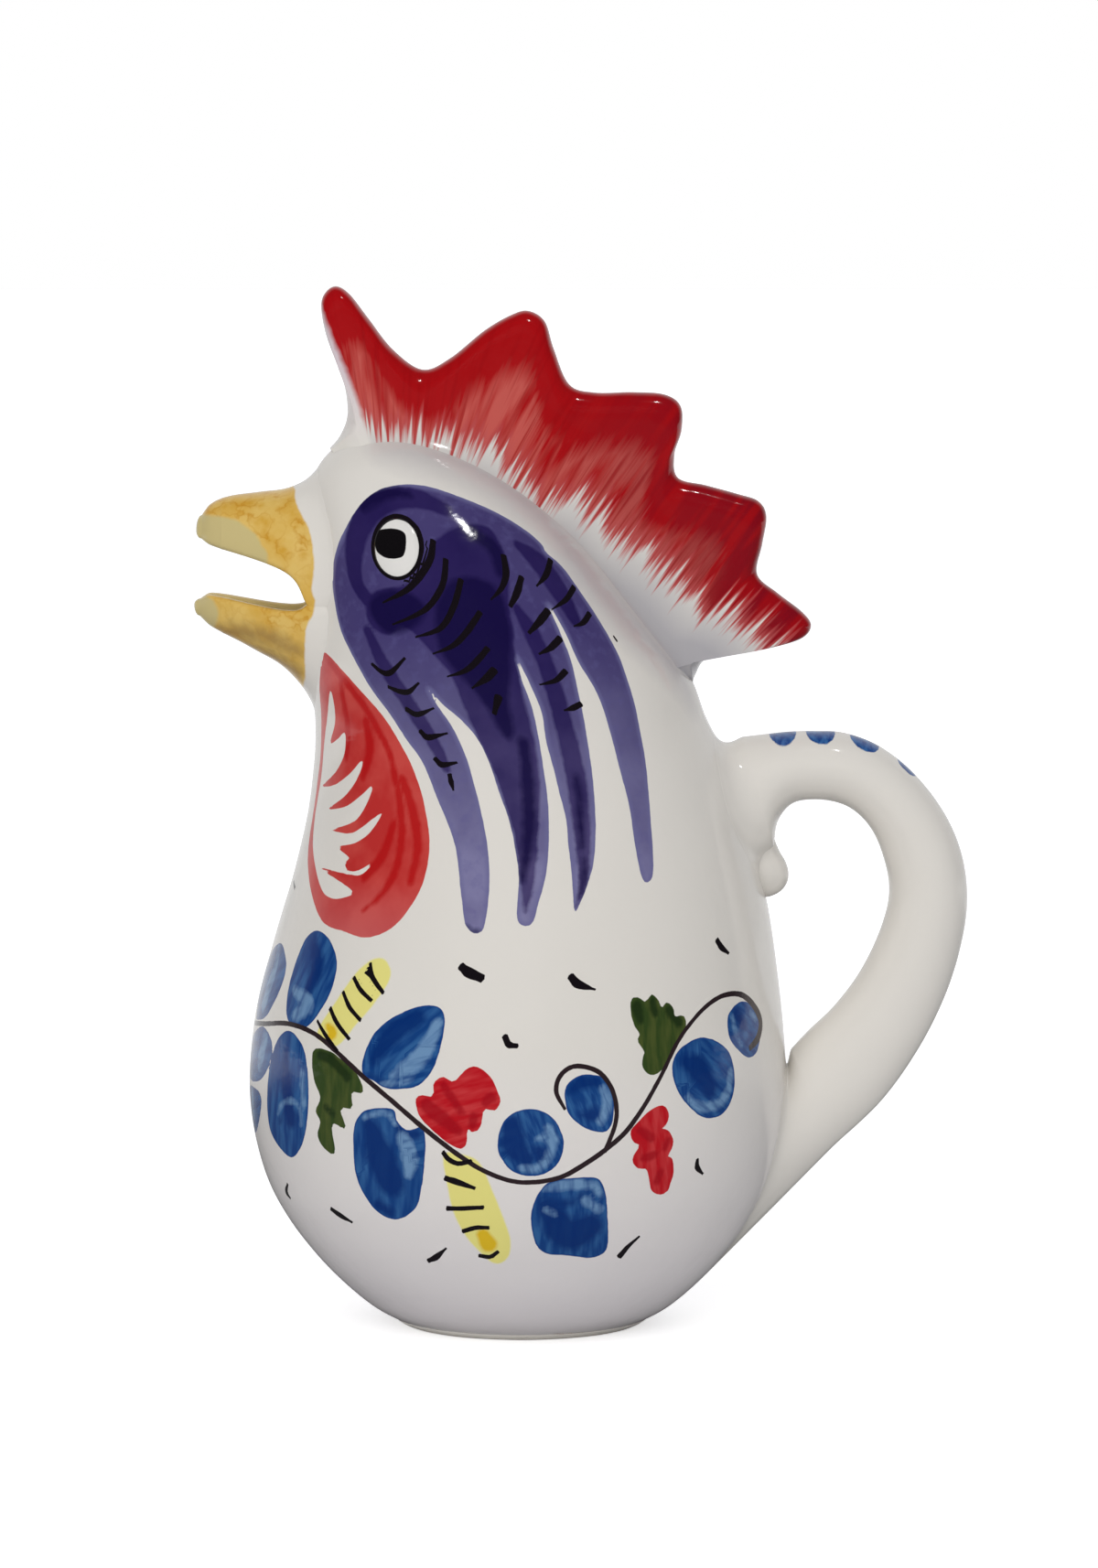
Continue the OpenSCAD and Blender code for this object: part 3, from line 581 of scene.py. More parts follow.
# %% Where the blue is darker and lighter
blue_dark = [
    stroke(343, 1032, 7, 346, 1055, 12, 338, 1080, 8),
    stroke(312, 1150, 6, 313, 1190, 12, 318, 1225, 9),
    stroke(408, 1160, 5, 428, 1130, 11, 456, 1113, 9),
    stroke(401, 1176, 3, 414, 1184, 5, 424, 1186, 4),
    stroke(404, 1230, 9, 415, 1262, 17, 428, 1292, 16),
    stroke(434, 1222, 4, 440, 1238, 6, 456, 1240, 5),
    stroke(414, 1318, 7, 426, 1326, 6),
    stroke(560, 1228, 9, 562, 1252, 14, 576, 1268, 8),
    stroke(586, 1256, 4, 592, 1262, 8),
    stroke(626, 1190, 5, 638, 1182, 8, 652, 1184, 6),
    stroke(636, 1218, 3, 648, 1218, 8),
    stroke(590, 1312, 4, 604, 1330, 14, 622, 1350, 18, 644, 1340, 14),
    stroke(750, 1160, 8, 764, 1170, 14, 776, 1190, 10),
    stroke(804, 1108, 6, 812, 1120, 8),
    stroke(815, 1142, 3, 820, 1134, 5)]
blue_light = [
    stroke(322, 1082, 5, 338, 1098, 8, 322, 1110, 6),
    stroke(304, 1218, 2, 309, 1206, 2.6, 320, 1204, 2.8, 328, 1214, 2.6, 329, 1230, 2),
    stroke(330, 1172, 3, 332, 1208, 4),
    stroke(430, 1176, 5, 452, 1162, 9, 468, 1142, 8, 478, 1118, 5),
    stroke(416, 1186, 2, 436, 1184, 3, 450, 1178, 3),
    stroke(440, 1244, 7, 448, 1266, 9, 446, 1284, 5),
    stroke(398, 1222, 2, 420, 1216, 3, 432, 1228, 2),
    stroke(598, 1232, 4, 605, 1246, 5, 600, 1264, 4),
    stroke(570, 1277, 3, 584, 1277, 4, 598, 1270, 3),
    stroke(586, 1246, 2, 594, 1243, 2.2, 600, 1250, 2),
    stroke(660, 1190, 5, 664, 1208, 5, 656, 1226, 4),
    stroke(596, 1299, 4, 618, 1295, 6, 646, 1295, 5, 656, 1304, 4),
    stroke(598, 1322, 3, 606, 1326, 3),
    stroke(640, 1312, 5, 654, 1322, 5),
    stroke(752, 1200, 4, 766, 1210, 5, 786, 1206, 5, 796, 1190, 5, 798, 1172, 4),
    stroke(800, 1112, 2.5, 804, 1128, 3, 810, 1142, 3),
    stroke(820, 1106, 2.2, 826, 1116, 2),
    stroke(305, 1036, 6, 298, 1066, 10, 288, 1098, 9),
    stroke(290, 1132, 8, 284, 1160, 10),
    stroke(276, 1192, 6, 277, 1218, 7)]
# short darker lines drawn over the blue
blue_line = [
    stroke(590, 1305, 2.6, 599, 1313, 3, 613, 1317, 3.2, 629, 1313, 3, 638, 1303, 2.2),
    stroke(306, 1226, 1.6, 312, 1215, 2, 320, 1213, 2, 325, 1222, 1.6),
    stroke(586, 1254, 2.4, 590, 1257, 4.4, 596, 1258, 2.4)]
print(len(blue_dark), "darker and", len(blue_light), "lighter places in the blue")

# %% Green leaves and red blossoms
green_marks = [
    outline(345, 1146, 360, 1149, 372, 1157, 389, 1172, 397, 1194, 384, 1194, 385, 1211, 372, 1212,
            378, 1234, 363, 1229, 366, 1260, 355, 1256, 347, 1241, 350, 1226, 345, 1214, 350, 1200,
            343, 1179, 341, 1157),
    outline(689, 1094, 697, 1090, 706, 1095, 712, 1087, 720, 1094, 723, 1102, 729, 1095, 736, 1102,
            738, 1111, 747, 1110, 750, 1122, 743, 1138, 733, 1158, 722, 1171, 711, 1175, 703, 1168,
            702, 1158, 704, 1150, 697, 1138, 699, 1130, 692, 1118)]
green_dark = [
    stroke(350, 1153, 5, 364, 1160, 6, 380, 1178, 5),
    stroke(356, 1210, 4, 364, 1218, 4),
    stroke(696, 1100, 6, 700, 1116, 4),
    stroke(713, 1094, 4, 716, 1108, 4),
    stroke(731, 1104, 5, 742, 1118, 5)]
red_marks = [
    outline(454, 1204, 459, 1197, 473, 1198, 474, 1184, 484, 1177, 496, 1182, 509, 1169, 521, 1166,
            536, 1177, 544, 1194, 547, 1204, 541, 1214, 529, 1213, 526, 1229, 519, 1238, 511, 1235,
            510, 1249, 504, 1256, 489, 1249, 471, 1234, 459, 1221),
    outline(689, 1237, 697, 1227, 710, 1214, 724, 1208, 731, 1217, 729, 1228, 723, 1233, 731, 1236,
            736, 1247, 733, 1259, 728, 1263, 735, 1267, 736, 1283, 733, 1293, 729, 1303, 720, 1306,
            712, 1301, 709, 1288, 706, 1278, 697, 1277, 691, 1268, 696, 1257, 699, 1252, 692, 1248)]
red_dark = [
    stroke(466, 1208, 7, 480, 1220, 8, 500, 1236, 5),
    stroke(484, 1186, 4, 494, 1200, 4, 504, 1216, 4),
    stroke(536, 1200, 6, 530, 1206, 4),
    stroke(518, 1220, 5, 516, 1230, 4),
    stroke(700, 1236, 5, 712, 1244, 5),
    stroke(704, 1266, 5, 716, 1262, 4),
    stroke(730, 1246, 4, 726, 1256, 3),
    stroke(722, 1280, 4, 718, 1292, 4)]
print(len(green_marks), "green leaves and", len(red_marks), "red blossoms")

# %% Yellow buds, black ticks, and ochre that ran off the beak
yellow_marks = [
    outline(414, 1047, 424, 1053, 426, 1070, 409, 1097, 389, 1120, 369, 1143, 352, 1139, 347, 1127,
            367, 1095, 384, 1070, 399, 1054),
    outline(485, 1262, 505, 1262, 524, 1271, 539, 1304, 551, 1333, 558, 1358, 554, 1376, 540, 1381,
            524, 1368, 509, 1351, 496, 1326, 489, 1296)]
gold_marks = [
    stroke(358, 1122, 4, 364, 1129, 6, 360, 1134, 4),
    stroke(528, 1350, 7, 534, 1360, 9)]
# black ticks: rows across the buds, and single ones scattered around the vine
ticks = [
    stroke(348, 1118, 1.4, 356, 1132, 2.1, 367, 1147, 1.8),
    stroke(362, 1105, 2.2, 368, 1118, 2.2, 380, 1134, 1.8),
    stroke(376, 1087, 1.8, 382, 1101, 2.1, 392, 1113, 1.8),
    stroke(388, 1071, 1.9, 394, 1082, 2.1, 404, 1092, 1.8),
    stroke(405, 1056, 1.6, 407, 1068, 2.4, 417, 1083, 1.8),
    stroke(401, 1064, 1.3, 407, 1068, 2),
    stroke(486, 1262, 2, 491, 1268, 2.2, 501, 1272, 2.1, 512, 1270, 1.8),
    stroke(490, 1289, 2.4, 499, 1292, 2.8, 516, 1298, 1.6),
    stroke(492, 1321, 2.2, 506, 1321, 2, 525, 1320, 1.8),
    stroke(509, 1345, 2, 520, 1342, 2, 531, 1342, 1.7),
    stroke(527, 1373, 1.8, 536, 1374, 2, 542, 1370, 1.6),
    stroke(507, 1059, 3.4, 512, 1063, 4.4, 523, 1068, 3.6),
    stroke(553, 1136, 2.6, 556, 1142, 2.8, 562, 1143, 2),
    stroke(626, 1070, 3, 632, 1076, 3.6, 648, 1081, 1),
    stroke(785, 1030, 2.6, 789, 1036, 2.8, 795, 1041, 1.4),
    stroke(762, 1270, 1.6, 762, 1276, 2.8, 767, 1282, 1.3),
    stroke(679, 1371, 2.6, 686, 1363, 2, 697, 1353, 1),
    stroke(471, 1377, 2.2, 477, 1374, 2.8, 486, 1366, 1),
    stroke(364, 1323, 2, 371, 1328, 2.6, 383, 1335, 1.2),
    stroke(314, 1296, 1.4, 313, 1303, 2.8, 316, 1308, 1.4),
    stroke(321, 964, 1.4, 322, 970, 1.6)]
spill = [
    outline(338, 640, 345, 655, 354, 660, 352, 664, 344, 666, 338, 690, 325, 700, 325, 640)]
print(len(yellow_marks), "yellow buds and", len(ticks), "black ticks")

# %% [markdown]
# ## Belly and head
#
# The skin from foot to crown is one surface, cut at the seam where the neck meets the head, so each
# side of the cut stands for its own solid. Both keep the normals of the whole skin at the cut, and
# no line shows there. Inside is a second skin, one wall's thickness in. The pouring hole is made on
# the head's grid itself: a block of cells is left out, and the rows around it bend to its oval edge.


# %% Skin of the jug
def skin_grid(u):
    """Grid (rows, AROUND, 3): middle + half length cos(a), half width sin(a), height."""
    z, f, b, s = level(u)
    a = 2 * np.pi * np.arange(AROUND) / AROUND
    x = (f + b)[:, None] / 2 + (b - f)[:, None] / 2 * np.cos(a)
    return np.stack([x, s[:, None] * np.sin(a), np.repeat(z[:, None], AROUND, axis=1)], axis=-1)


def outward(grid):
    """Unit normals by central differences: along the ring crossed with up the jug."""
    along = np.roll(grid, -1, axis=1) - np.roll(grid, 1, axis=1)
    up = np.gradient(grid, axis=0)
    n = np.cross(along, up)
    return n / np.maximum(np.linalg.norm(n, axis=-1, keepdims=True), TINY)


# %% The eye's place and the black line around it
eye_x, eye_z = face_x + neck_half * .43 + .4, neck_h + head_h * .58 + 1.45   # the middle of the button
eye_w, eye_h, eye_proud = 11.0, 14.0, 1.3           # the button's size, and how far it stands out
eye_dot, eye_reach = (434.2, 598.0), (26.2, 33.4)   # the line's middle and half axes in the picture
turn = np.linspace(0, 2 * np.pi + .3, 27)           # its ends overlap
pressed = 2.4 + .9 * np.cos(turn + .9) ** 2         # harder at two places
eye_outline = np.column_stack([eye_dot[0] + eye_reach[0] * np.cos(turn),
                               eye_dot[1] + eye_reach[1] * np.sin(turn), pressed])
print("the eye is", eye_w, "by", eye_h, "mm, at height", round(eye_z, 1))

# %% The brush marks as fields of the skin
patches = {
    "hollow": hollow_shade,
    "feather": feather_wash, "feather_coat": feather_coat, "feather_deep": feather_deep,
    "wattle": wattle_wash, "wattle_bare": wattle_bare, "wattle_coat": wattle_coat,
    "blue": blue_marks, "blue_dark": blue_dark + blue_line, "blue_light": blue_light,
    "green": green_marks, "green_dark": green_dark, "red": red_marks, "red_dark": red_dark,
    "yellow": yellow_marks, "gold": gold_marks, "spill": spill}
bristled = ("blue", "green", "red")   # these also keep the direction of their own stroke
tick_press, hatch_press = 1.3, 1.12   # how much broader the loaded brush wrote than it looks


def paint_fields(points, count):
    """The distance to each colour's marks at the first count points. The rest, inside the jug, get FAR."""
    p = skin_place(points[:count, 0], points[:count, 2])
    brush = np.zeros((len(points), 2))
    fields = {}
    for key, shapes in patches.items():
        fields[key] = np.full(len(points), FAR)
        kept_brush = brush[:count] if key in bristled else None
        lay(fields[key][:count], p, shapes, seen, kept_brush)
    fields["brush_u"], fields["brush_v"] = brush[:, 0], brush[:, 1]
    black = ([mark * [1, 1, hatch_press] for mark in hatching] + [mark * [1, 1, tick_press] for mark in ticks]
             + [eye_outline])
    for key, shapes in (("vine", vine), ("twig", twig), ("black", black)):
        line_values = NO_LINE * np.ones(len(points))
        line_values[:, :count] = lay_lines(p, shapes, seen)
        fields.update({key + part: row for part, row in zip(("_near", "_side", "_half"), line_values)})
    return fields


# %% The skin from foot to crown
BELLY_ROWS, HEAD_ROWS = 190, 103
belly_u = np.linspace(0, seam_u, BELLY_ROWS)
head_u = np.linspace(seam_u, profile_u[-1], HEAD_ROWS + 1)[:-1]
whole = np.vstack([skin_grid(belly_u), skin_grid(head_u[1:])])
whole_normals = outward(whole)
seam_normals = whole_normals[BELLY_ROWS - 1]
print("the skin has", whole.shape[0], "rings of", whole.shape[1], "points")

# %% Belly
belly_out = whole[:BELLY_ROWS]
belly_in = belly_out - wall * whole_normals[:BELLY_ROWS]
belly_in = np.concatenate([belly_in[8:-5:5], belly_in[-1:]])   # from over the foot, every fifth ring
n_out, n_in = len(belly_out) * AROUND, len(belly_in) * AROUND
belly_points = np.vstack([belly_out.reshape(-1, 3), belly_in.reshape(-1, 3),
                          [[0, 0, foot_t], [0, 0, belly_in[0, :, 2].min()]]])
j = np.arange(AROUND)
k = (j + 1) % AROUND
out_rim, in_rim = n_out - AROUND, n_out + n_in - AROUND
belly_faces = [band(len(belly_out), AROUND), band(len(belly_in), AROUND, n_out)[:, ::-1],
               np.stack([out_rim + j, out_rim + k, in_rim + k, in_rim + j], axis=1),
               np.stack([k, j, np.full(AROUND, n_out + n_in)], axis=1),
               np.stack([n_out + j, n_out + k, np.full(AROUND, n_out + n_in + 1)], axis=1)]
belly = make_piece("belly_skin", belly_points, belly_faces, ["belly"], "painted_glaze",
                   paint_fields(belly_points, n_out))

# %% The head's grid, bent around the pouring hole
mouth_r, mouth_reach, mouth_z = 11.5, 14.0, gape_z + 2.5
half_i, half_j = 20, 17   # the hole's half size in grid rows and columns
bend_reach = 2.2          # how far the bending goes, where the hole's edge is 1
head_out = skin_grid(head_u)
mid_i, mid_j = int(np.argmin(np.abs(head_out[:, AROUND // 2, 2] - mouth_z))), AROUND // 2
gi, gj = np.meshgrid(np.arange(HEAD_ROWS) - mid_i, np.arange(AROUND) - mid_j, indexing="ij")
rho = np.maximum(np.abs(gi) / half_i, np.abs(gj) / half_j)   # 1 on the hole's edge
phi = np.arctan2(gi / half_i, -gj / half_j)
slot_y = mouth_r * np.cos(phi)
slot_z = mouth_r * np.sin(phi) + mouth_reach / 2 * np.tanh(4 * np.sin(phi))
bent = min(bend_reach, mid_i / half_i)   # and never as far as the seam's row
near_mouth = (rho < bent) & (rho > 0)
blend = np.clip((rho - 1) / (bent - 1), 0, 1)
blend = blend * blend * (3 - 2 * blend)
old_x, old_y, old_z = np.moveaxis(head_out, -1, 0)
new_y = np.where(near_mouth, slot_y * rho * (1 - blend) + old_y * blend, old_y)
new_z = np.where(near_mouth, (mouth_z + slot_z * rho) * (1 - blend) + old_z * blend, old_z)
new_x = np.where(near_mouth, front_x(new_y, new_z), old_x)
head_out = np.stack([new_x, new_y, new_z], axis=-1)
print("the pouring hole is", 2 * mouth_r, "mm wide and", 2 * mouth_r + mouth_reach, "mm high")

# %% Head
head_normals = outward(head_out)
head_normals[0] = seam_normals
head_in = head_out - wall * head_normals
h_out = HEAD_ROWS * AROUND
in_hole = (np.abs(gi[:-1] + .5) < half_i) & (np.abs(gj[:-1] + .5) < half_j)
open_quads = band(HEAD_ROWS, AROUND)[~in_hole.reshape(-1)]
i0, i1, j0, j1 = mid_i - half_i, mid_i + half_i, mid_j - half_j, mid_j + half_j
loop = np.concatenate([i0 * AROUND + np.arange(j0, j1), np.arange(i0, i1) * AROUND + j1,
                       i1 * AROUND + np.arange(j1, j0, -1), np.arange(i1, i0, -1) * AROUND + j0])
nxt = np.roll(loop, -1)
head_points = np.vstack([head_out.reshape(-1, 3), head_in.reshape(-1, 3), [crown, crown - [0, 0, wall]]])
top = h_out - AROUND
head_faces = [open_quads, open_quads[:, ::-1] + h_out,
              np.stack([nxt, loop, loop + h_out, nxt + h_out], axis=1),   # the hole's edge
              np.stack([k, j, j + h_out, k + h_out], axis=1),             # the edge at the seam
              np.stack([top + j, top + k, np.full(AROUND, 2 * h_out)], axis=1),
              np.stack([h_out + top + k, h_out + top + j, np.full(AROUND, 2 * h_out + 1)], axis=1)]
head_piece = make_piece("head_skin", head_points, head_faces, ["head"], "head_glaze",
                        paint_fields(head_points, h_out))


# %% One normal on both sides of the seam
def share_normals(obj, first):
    """Sets the skin's own normals on the seam's ring and leaves the other points to the mesh."""
    normals = np.zeros((len(obj.data.vertices), 3))
    normals[first:first + AROUND] = seam_normals
    obj.data.normals_split_custom_set_from_vertices(normals.tolist())


share_normals(belly, n_out - AROUND)
share_normals(head_piece, 0)

# %% [markdown]
# ## The open beak
#
# Each half is a trough pressed from a strip of clay: an arch with an inner arch one wall further
# in, and a rounded lip between them. It narrows to a blunt tip, and flares a little where it was
# luted to the face, so that it grows out of the head without a step.

# %% Sizes of the beak
beak_l, beak_w, beak_wall = 29.0, 35.0, 4.0
upper_beak_h, lower_beak_h, tip_round = 26.0, 21.0, 1.4
# share of the way to the tip, top and bottom as shares of the half's height, half width as a share;
# the rows start inside the head
upper_rows = np.array([[-.35, 1.03, -.05, 1.04], [0, 1.03, -.05, 1], [.045, 1.02, -.03, .99],
                       [.075, 1.01, .05, .98], [.11, 1.01, .16, .96], [.21, 1, .28, .91],
                       [.39, .985, .37, .79], [.55, .965, .425, .67], [.7, .945, .47, .56],
                       [.82, .91, .505, .45], [.92, .85, .54, .32], [.98, .77, .58, .2]])
lower_rows = np.array([[-.35, 0, -1.1, 1.04], [0, 0, -1.03, 1], [.045, -.01, -.96, .99],
                       [.08, -.075, -.91, .97], [.13, -.1, -.86, .95], [.21, -.105, -.78, .91],
                       [.33, -.09, -.68, .83], [.5, -.05, -.56, .7], [.65, -.01, -.45, .6],
                       [.8, .03, -.35, .47], [.92, .05, -.26, .33], [1, 0, -.17, .17]])
ARCH, LIP = 61, 7                   # points along an arch and over a lip
SECTION = 2 * (ARCH + LIP)
TIP_TURNS = (.4, .8, 1.15, 1.4)     # how far round the tip's dome its rings lie, in radians
fine_from, fine_rings = .8, 30      # from this share on, the rings lie closer
rough_rings, softened = 90, 2.2
thin_share, channel_end = .3, .3    # the inside's least share of the outside; the channel's last stretch
lip_low, lip_lift = .55, .3         # how round a lip is, and how far it is raised, as shares of its radius
flare, flare_from = 4.5, 9.0        # how far the root spreads, and from what distance to the face on
sunk_root = 2.0
print("the beak is", beak_l, "mm long and", beak_w, "mm wide, and opens at height", gape_z)


# %% Beak helpers
def face_at(points):
    """x of the face in front of each point."""
    return front_x(np.clip(points[..., 1], -40, 40), points[..., 2])


def spread_root(rings, base, arch):
    """Moves the outer arch outwards near the face by a quarter round, so that it lands along the skin."""
    middle = np.stack([rings[..., 0], 0 * rings[..., 0], np.broadcast_to(base, rings.shape[:2])], axis=-1)
    out = rings - middle
    out /= np.maximum(np.linalg.norm(out, axis=-1, keepdims=True), TINY)
    most = np.zeros(rings.shape[1])
    most[:ARCH] = flare * np.sin(arch) ** .5
    grown = np.zeros(rings.shape[:2])
    for _ in range(12):   # each round asks the face again, until it settles
        off = face_at(rings + out * grown[..., None]) - rings[..., 0]
        grown = (grown + most * (1 - np.sqrt(1 - np.clip(1 - off / flare_from, 0, 1) ** 2))) / 2
    return rings + out * grown[..., None]


def trough(table, height, way):
    """Rings of a half beak: outer arch (w cos a, h sin a), a half-round lip, inner arch, the other lip."""
    s = np.concatenate([np.linspace(table[0, 0], fine_from, rough_rings),
                        np.linspace(fine_from, table[-1, 0], fine_rings)[1:]])
    t = relax(through(table[:, 0], table[:, 1:], s), softened)[..., None]
    w, top, low = beak_w / 2 * t[:, 2], gape_z + height * t[:, 0], gape_z + height * t[:, 1]
    h, base = top - low, low if way > 0 else top
    fade = np.clip((table[-1, 0] - s) / channel_end, 0, 1)[:, None]
    wi = np.maximum(w - beak_wall, w * thin_share)
    hi = np.maximum(h - beak_wall, h * thin_share) * fade * (2 - fade)
    r = (w - wi) / 2
    arch, lip = np.linspace(0, np.pi, ARCH), np.linspace(0, np.pi, LIP + 2)[1:-1]
    lip_z = -lip_low * r * np.sin(lip)
    y = np.concatenate([w * np.cos(arch), -(w + wi) / 2 - r * np.cos(lip), wi * np.cos(arch[::-1]),
                        (w + wi) / 2 - r * np.cos(lip)], axis=1)
    z = np.concatenate([h * np.sin(arch), lip_z, hi * np.sin(arch[::-1]), lip_z], axis=1)
    x = face_x - (beak_l - tip_round) * s[:, None] + 0 * y
    rings = spread_root(np.stack([x, y, base + way * (z + lip_lift * r)], axis=-1), base, arch)
    rings[..., 0] = np.minimum(rings[..., 0], face_at(rings) + sunk_root)
    return rings


# %% Tip and root of a trough
def close_tip(rings):
    """Adds rings of radius cos q, ahead by sin q, past the last one, so that the tip ends in a small dome."""
    last, middle = rings[-1], rings[-1].mean(axis=0)
    ahead = tip_round * np.sign(middle[0] - rings[-4].mean(axis=0)[0])
    dome = [middle + (last - middle) * math.cos(q) + np.array([ahead * math.sin(q), 0, 0]) for q in TIP_TURNS]
    return np.concatenate([rings, np.array(dome)])


def root_cap():
    """Faces that close a trough's first ring: quads between the arches, and a fan over each lip."""
    k, i, m = np.arange(ARCH - 1), np.arange(ARCH, ARCH + LIP), np.arange(SECTION - LIP, SECTION)
    inner = SECTION - LIP - 1   # the inner arch's point across from the outer arch's first
    quads = np.stack([k + 1, k, inner - k, inner - 1 - k], axis=1)
    lips = [np.stack([i + 1, i, 0 * i + ARCH - 1], axis=1),
            np.stack([(m + 1) % SECTION, m, 0 * m + inner], axis=1)]
    return [quads, np.vstack(lips)]


# %% Places on the beak's paint
def dots_of(points):
    """Where the camera sees points, in the photograph's dots."""
    d = points - view_from
    deep = d @ view_way
    return np.stack([FRAME_W / 2 + d[:, 0] * view_far / deep / MM_PER_DOT,
                     FRAME_H / 2 - d @ view_up * view_far / deep / MM_PER_DOT], axis=1)


def flat(dots):
    """Picture places used as they are, in millimetres, for pieces near the middle plane."""
    return np.asarray(dots, float)[:, :2] * MM_PER_DOT


cream_upper = [
    outline(196, 560, 214, 560, 226, 563, 244, 565, 256, 568, 268, 575, 280, 585, 286, 597, 292, 608,
            280, 650, 196, 640)]
cream_lower = [
    outline(196, 640, 226, 652, 236, 662, 238, 676, 228, 690, 196, 700)]
bare_root = [
    outline(321, 500, 322, 535, 325, 554, 337, 577, 342, 600, 343, 625, 340, 645, 345, 655, 341, 673,
            334, 689, 333, 743, 330, 780, 420, 780, 420, 500)]
ochre_touch = [
    stroke(222, 556, 3, 236, 556, 5, 258, 552, 5, 286, 552, 4),
    stroke(262, 560, 3, 280, 566, 4, 292, 574, 4),
    stroke(296, 545, 4, 318, 556, 6, 330, 580, 6, 330, 604, 5),
    stroke(282, 575, 3, 296, 590, 6, 312, 604, 5),
    stroke(282, 668, 3, 300, 668, 5, 318, 668, 4, 332, 668, 4),
    stroke(318, 676, 3, 326, 688, 4, 320, 694, 3),
    stroke(292, 672, 3, 296, 684, 4),
    stroke(336, 660, 3, 337, 676, 3)]
# painted shade: darker brown along the underside of the lower beak, where shade falls
beak_underside_shade = [
    stroke(232, 690, 5, 258, 690, 8, 284, 694, 8, 306, 702, 7, 326, 712, 6),
    stroke(240, 700, 5, 270, 708, 6, 300, 720, 6, 326, 735, 6)]

# %% Both halves of the beak
halves = (("upper_beak", upper_rows, upper_beak_h, 1, cream_upper),
          ("lower_beak", lower_rows, lower_beak_h, -1, cream_lower))
for name, table, height, way, cream in halves:
    points, (walls, caps) = tube(close_tip(trough(table, height, way)))
    points = np.delete(points, len(points) - 2, axis=0)   # the root is closed without a middle point
    faces = [walls, caps[SECTION:] - [0, 0, 1]] + root_cap()
    at = dots_of(np.column_stack([points[:, 0], -np.abs(points[:, 1]), points[:, 2]])) * MM_PER_DOT
    number = np.arange(len(points))
    ring_place, before_dome = number % SECTION, number < len(points) - 1 - len(TIP_TURNS) * SECTION
    in_channel = (ring_place > ARCH + 2) & (ring_place < SECTION - 3) & before_dome
    # the channel's points, which get painted light below
    fields = {"inside": np.where(in_channel, 1.0, -1.0)}
    for key, shapes in (("cream", cream), ("bare", bare_root), ("ochre", ochre_touch),
                        ("brown", beak_underside_shade)):
        fields[key] = lay(np.full(len(points), FAR), at, shapes, flat)
    make_piece(name + "_skin", points, faces, [name], "beak_glaze", fields)

# %% [markdown]
# ## The comb
#
# The comb is a plate of clay, thickest where it was pressed onto the head and rounded along its
# crest. Its shape is a fan of ribs: each starts at a place on the crest and runs in towards a line
# inside the head. Along a rib the thickness grows as a quarter round from the edge, stays level,
# and flares at the root.

# %% The comb's sizes and its crest
comb_l, comb_h, comb_t, comb_edge = 121.2, 93.1, 10.0, 5.5
comb_fillet, comb_fillet_h = 10.0, 21.0   # how broad and how high the flare at its root is
comb_sunk, least_tall, edge_share = 1.2, .03, .7
front_share, front_more = .13, .35        # the flare is broader over the first of the ribs
EDGE_POINTS, FLANK_POINTS = 9, 36         # points on a rib
# places on the crest as shares of length and height from the crown, and the place on the spine they lead to
crest_rows = [[-.142, -.047, .01], [-.122, -.015, .02], [-.108, .035, .03], [-.112, .105, .04],
              [-.13, .175, .05], [-.152, .256, .06], [-.158, .33, .07], [-.135, .366, .08], [-.105, .35, .09],
              [-.065, .284, .1], [-.018, .206, .12], [.04, .154, .15], [.094, .182, .2], [.163, .254, .28],
              [.216, .294, .34], [.25, .304, .38], [.282, .277, .4], [.3, .206, .42], [.33, .116, .46],
              [.38, .095, .53], [.454, .096, .6], [.518, .09, .64], [.55, .06, .67], [.552, -.002, .69],
              [.538, -.065, .71], [.545, -.124, .73], [.6, -.143, .78], [.662, -.165, .82],
              [.704, -.184, .84], [.72, -.224, .86], [.712, -.295, .88], [.702, -.372, .9],
              [.742, -.42, .92], [.79, -.468, .94],
              [.809, -.504, .96], [.79, -.538, .97], [.726, -.562, .98], [.654, -.575, .985],
              [.6, -.592, .99], [.58, -.632, 1], [.573, -.66, 1.015], [.562, -.695, 1.03]]
spine_from, spine_way = np.array([[-.02, -.21]]), np.array([[.47, -.42]])


def comb_place(s):
    """Shares of the comb's length and height to x and z in the middle plane."""
    return np.stack([crown[0] + s[:, 0] * comb_l, crown[2] + s[:, 1] * comb_h], axis=1)


def way_out(a, c, y):
    """Share of the line from a to c where it leaves the jug at y, found by halving."""
    low, high = np.zeros(len(a)), np.ones(len(a))
    for _ in range(22):
        mid = (low + high) / 2
        p = a + (c - a) * mid[:, None]
        m, half, side = oval(p[:, 1])
        across = ((p[:, 0] - m) / np.maximum(half, TINY)) ** 2 + (y / np.maximum(side, TINY)) ** 2
        inside = (p[:, 1] < crown[2]) & (across < 1)
        low, high = np.where(inside, mid, low), np.where(inside, high, mid)
    return (low + high) / 2


# %% Comb
crest_rows = round_curve(crest_rows, 9)
tips = comb_place(crest_rows[:, :2])
spine = comb_place(spine_from + spine_way * crest_rows[:, 2:3])
rib_l = np.linalg.norm(tips - spine, axis=1)
tall = np.maximum(rib_l * (1 - way_out(spine, tips, 0.0)), least_tall)   # outside the head
edge = np.minimum(comb_edge, tall * edge_share)
grow = np.sqrt(np.minimum(tall / comb_edge, 1))
half = comb_t / 2 * grow
front = np.clip(1 - crest_rows[:, 2] / front_share, 0, 1)
full = half + comb_fillet * grow * (1 + front_more * front * front * (3 - 2 * front))
deep = rib_l * (1 - way_out(spine, tips, full)) + comb_sunk
share_in = 1 - np.cos(np.linspace(0, np.pi / 2, EDGE_POINTS))
flank_in = 1 - (1 - np.linspace(0, 1, FLANK_POINTS)[1:]) ** 1.5
q = np.concatenate([share_in * edge[:, None], edge[:, None] + flank_in * (deep - edge)[:, None]], axis=1)
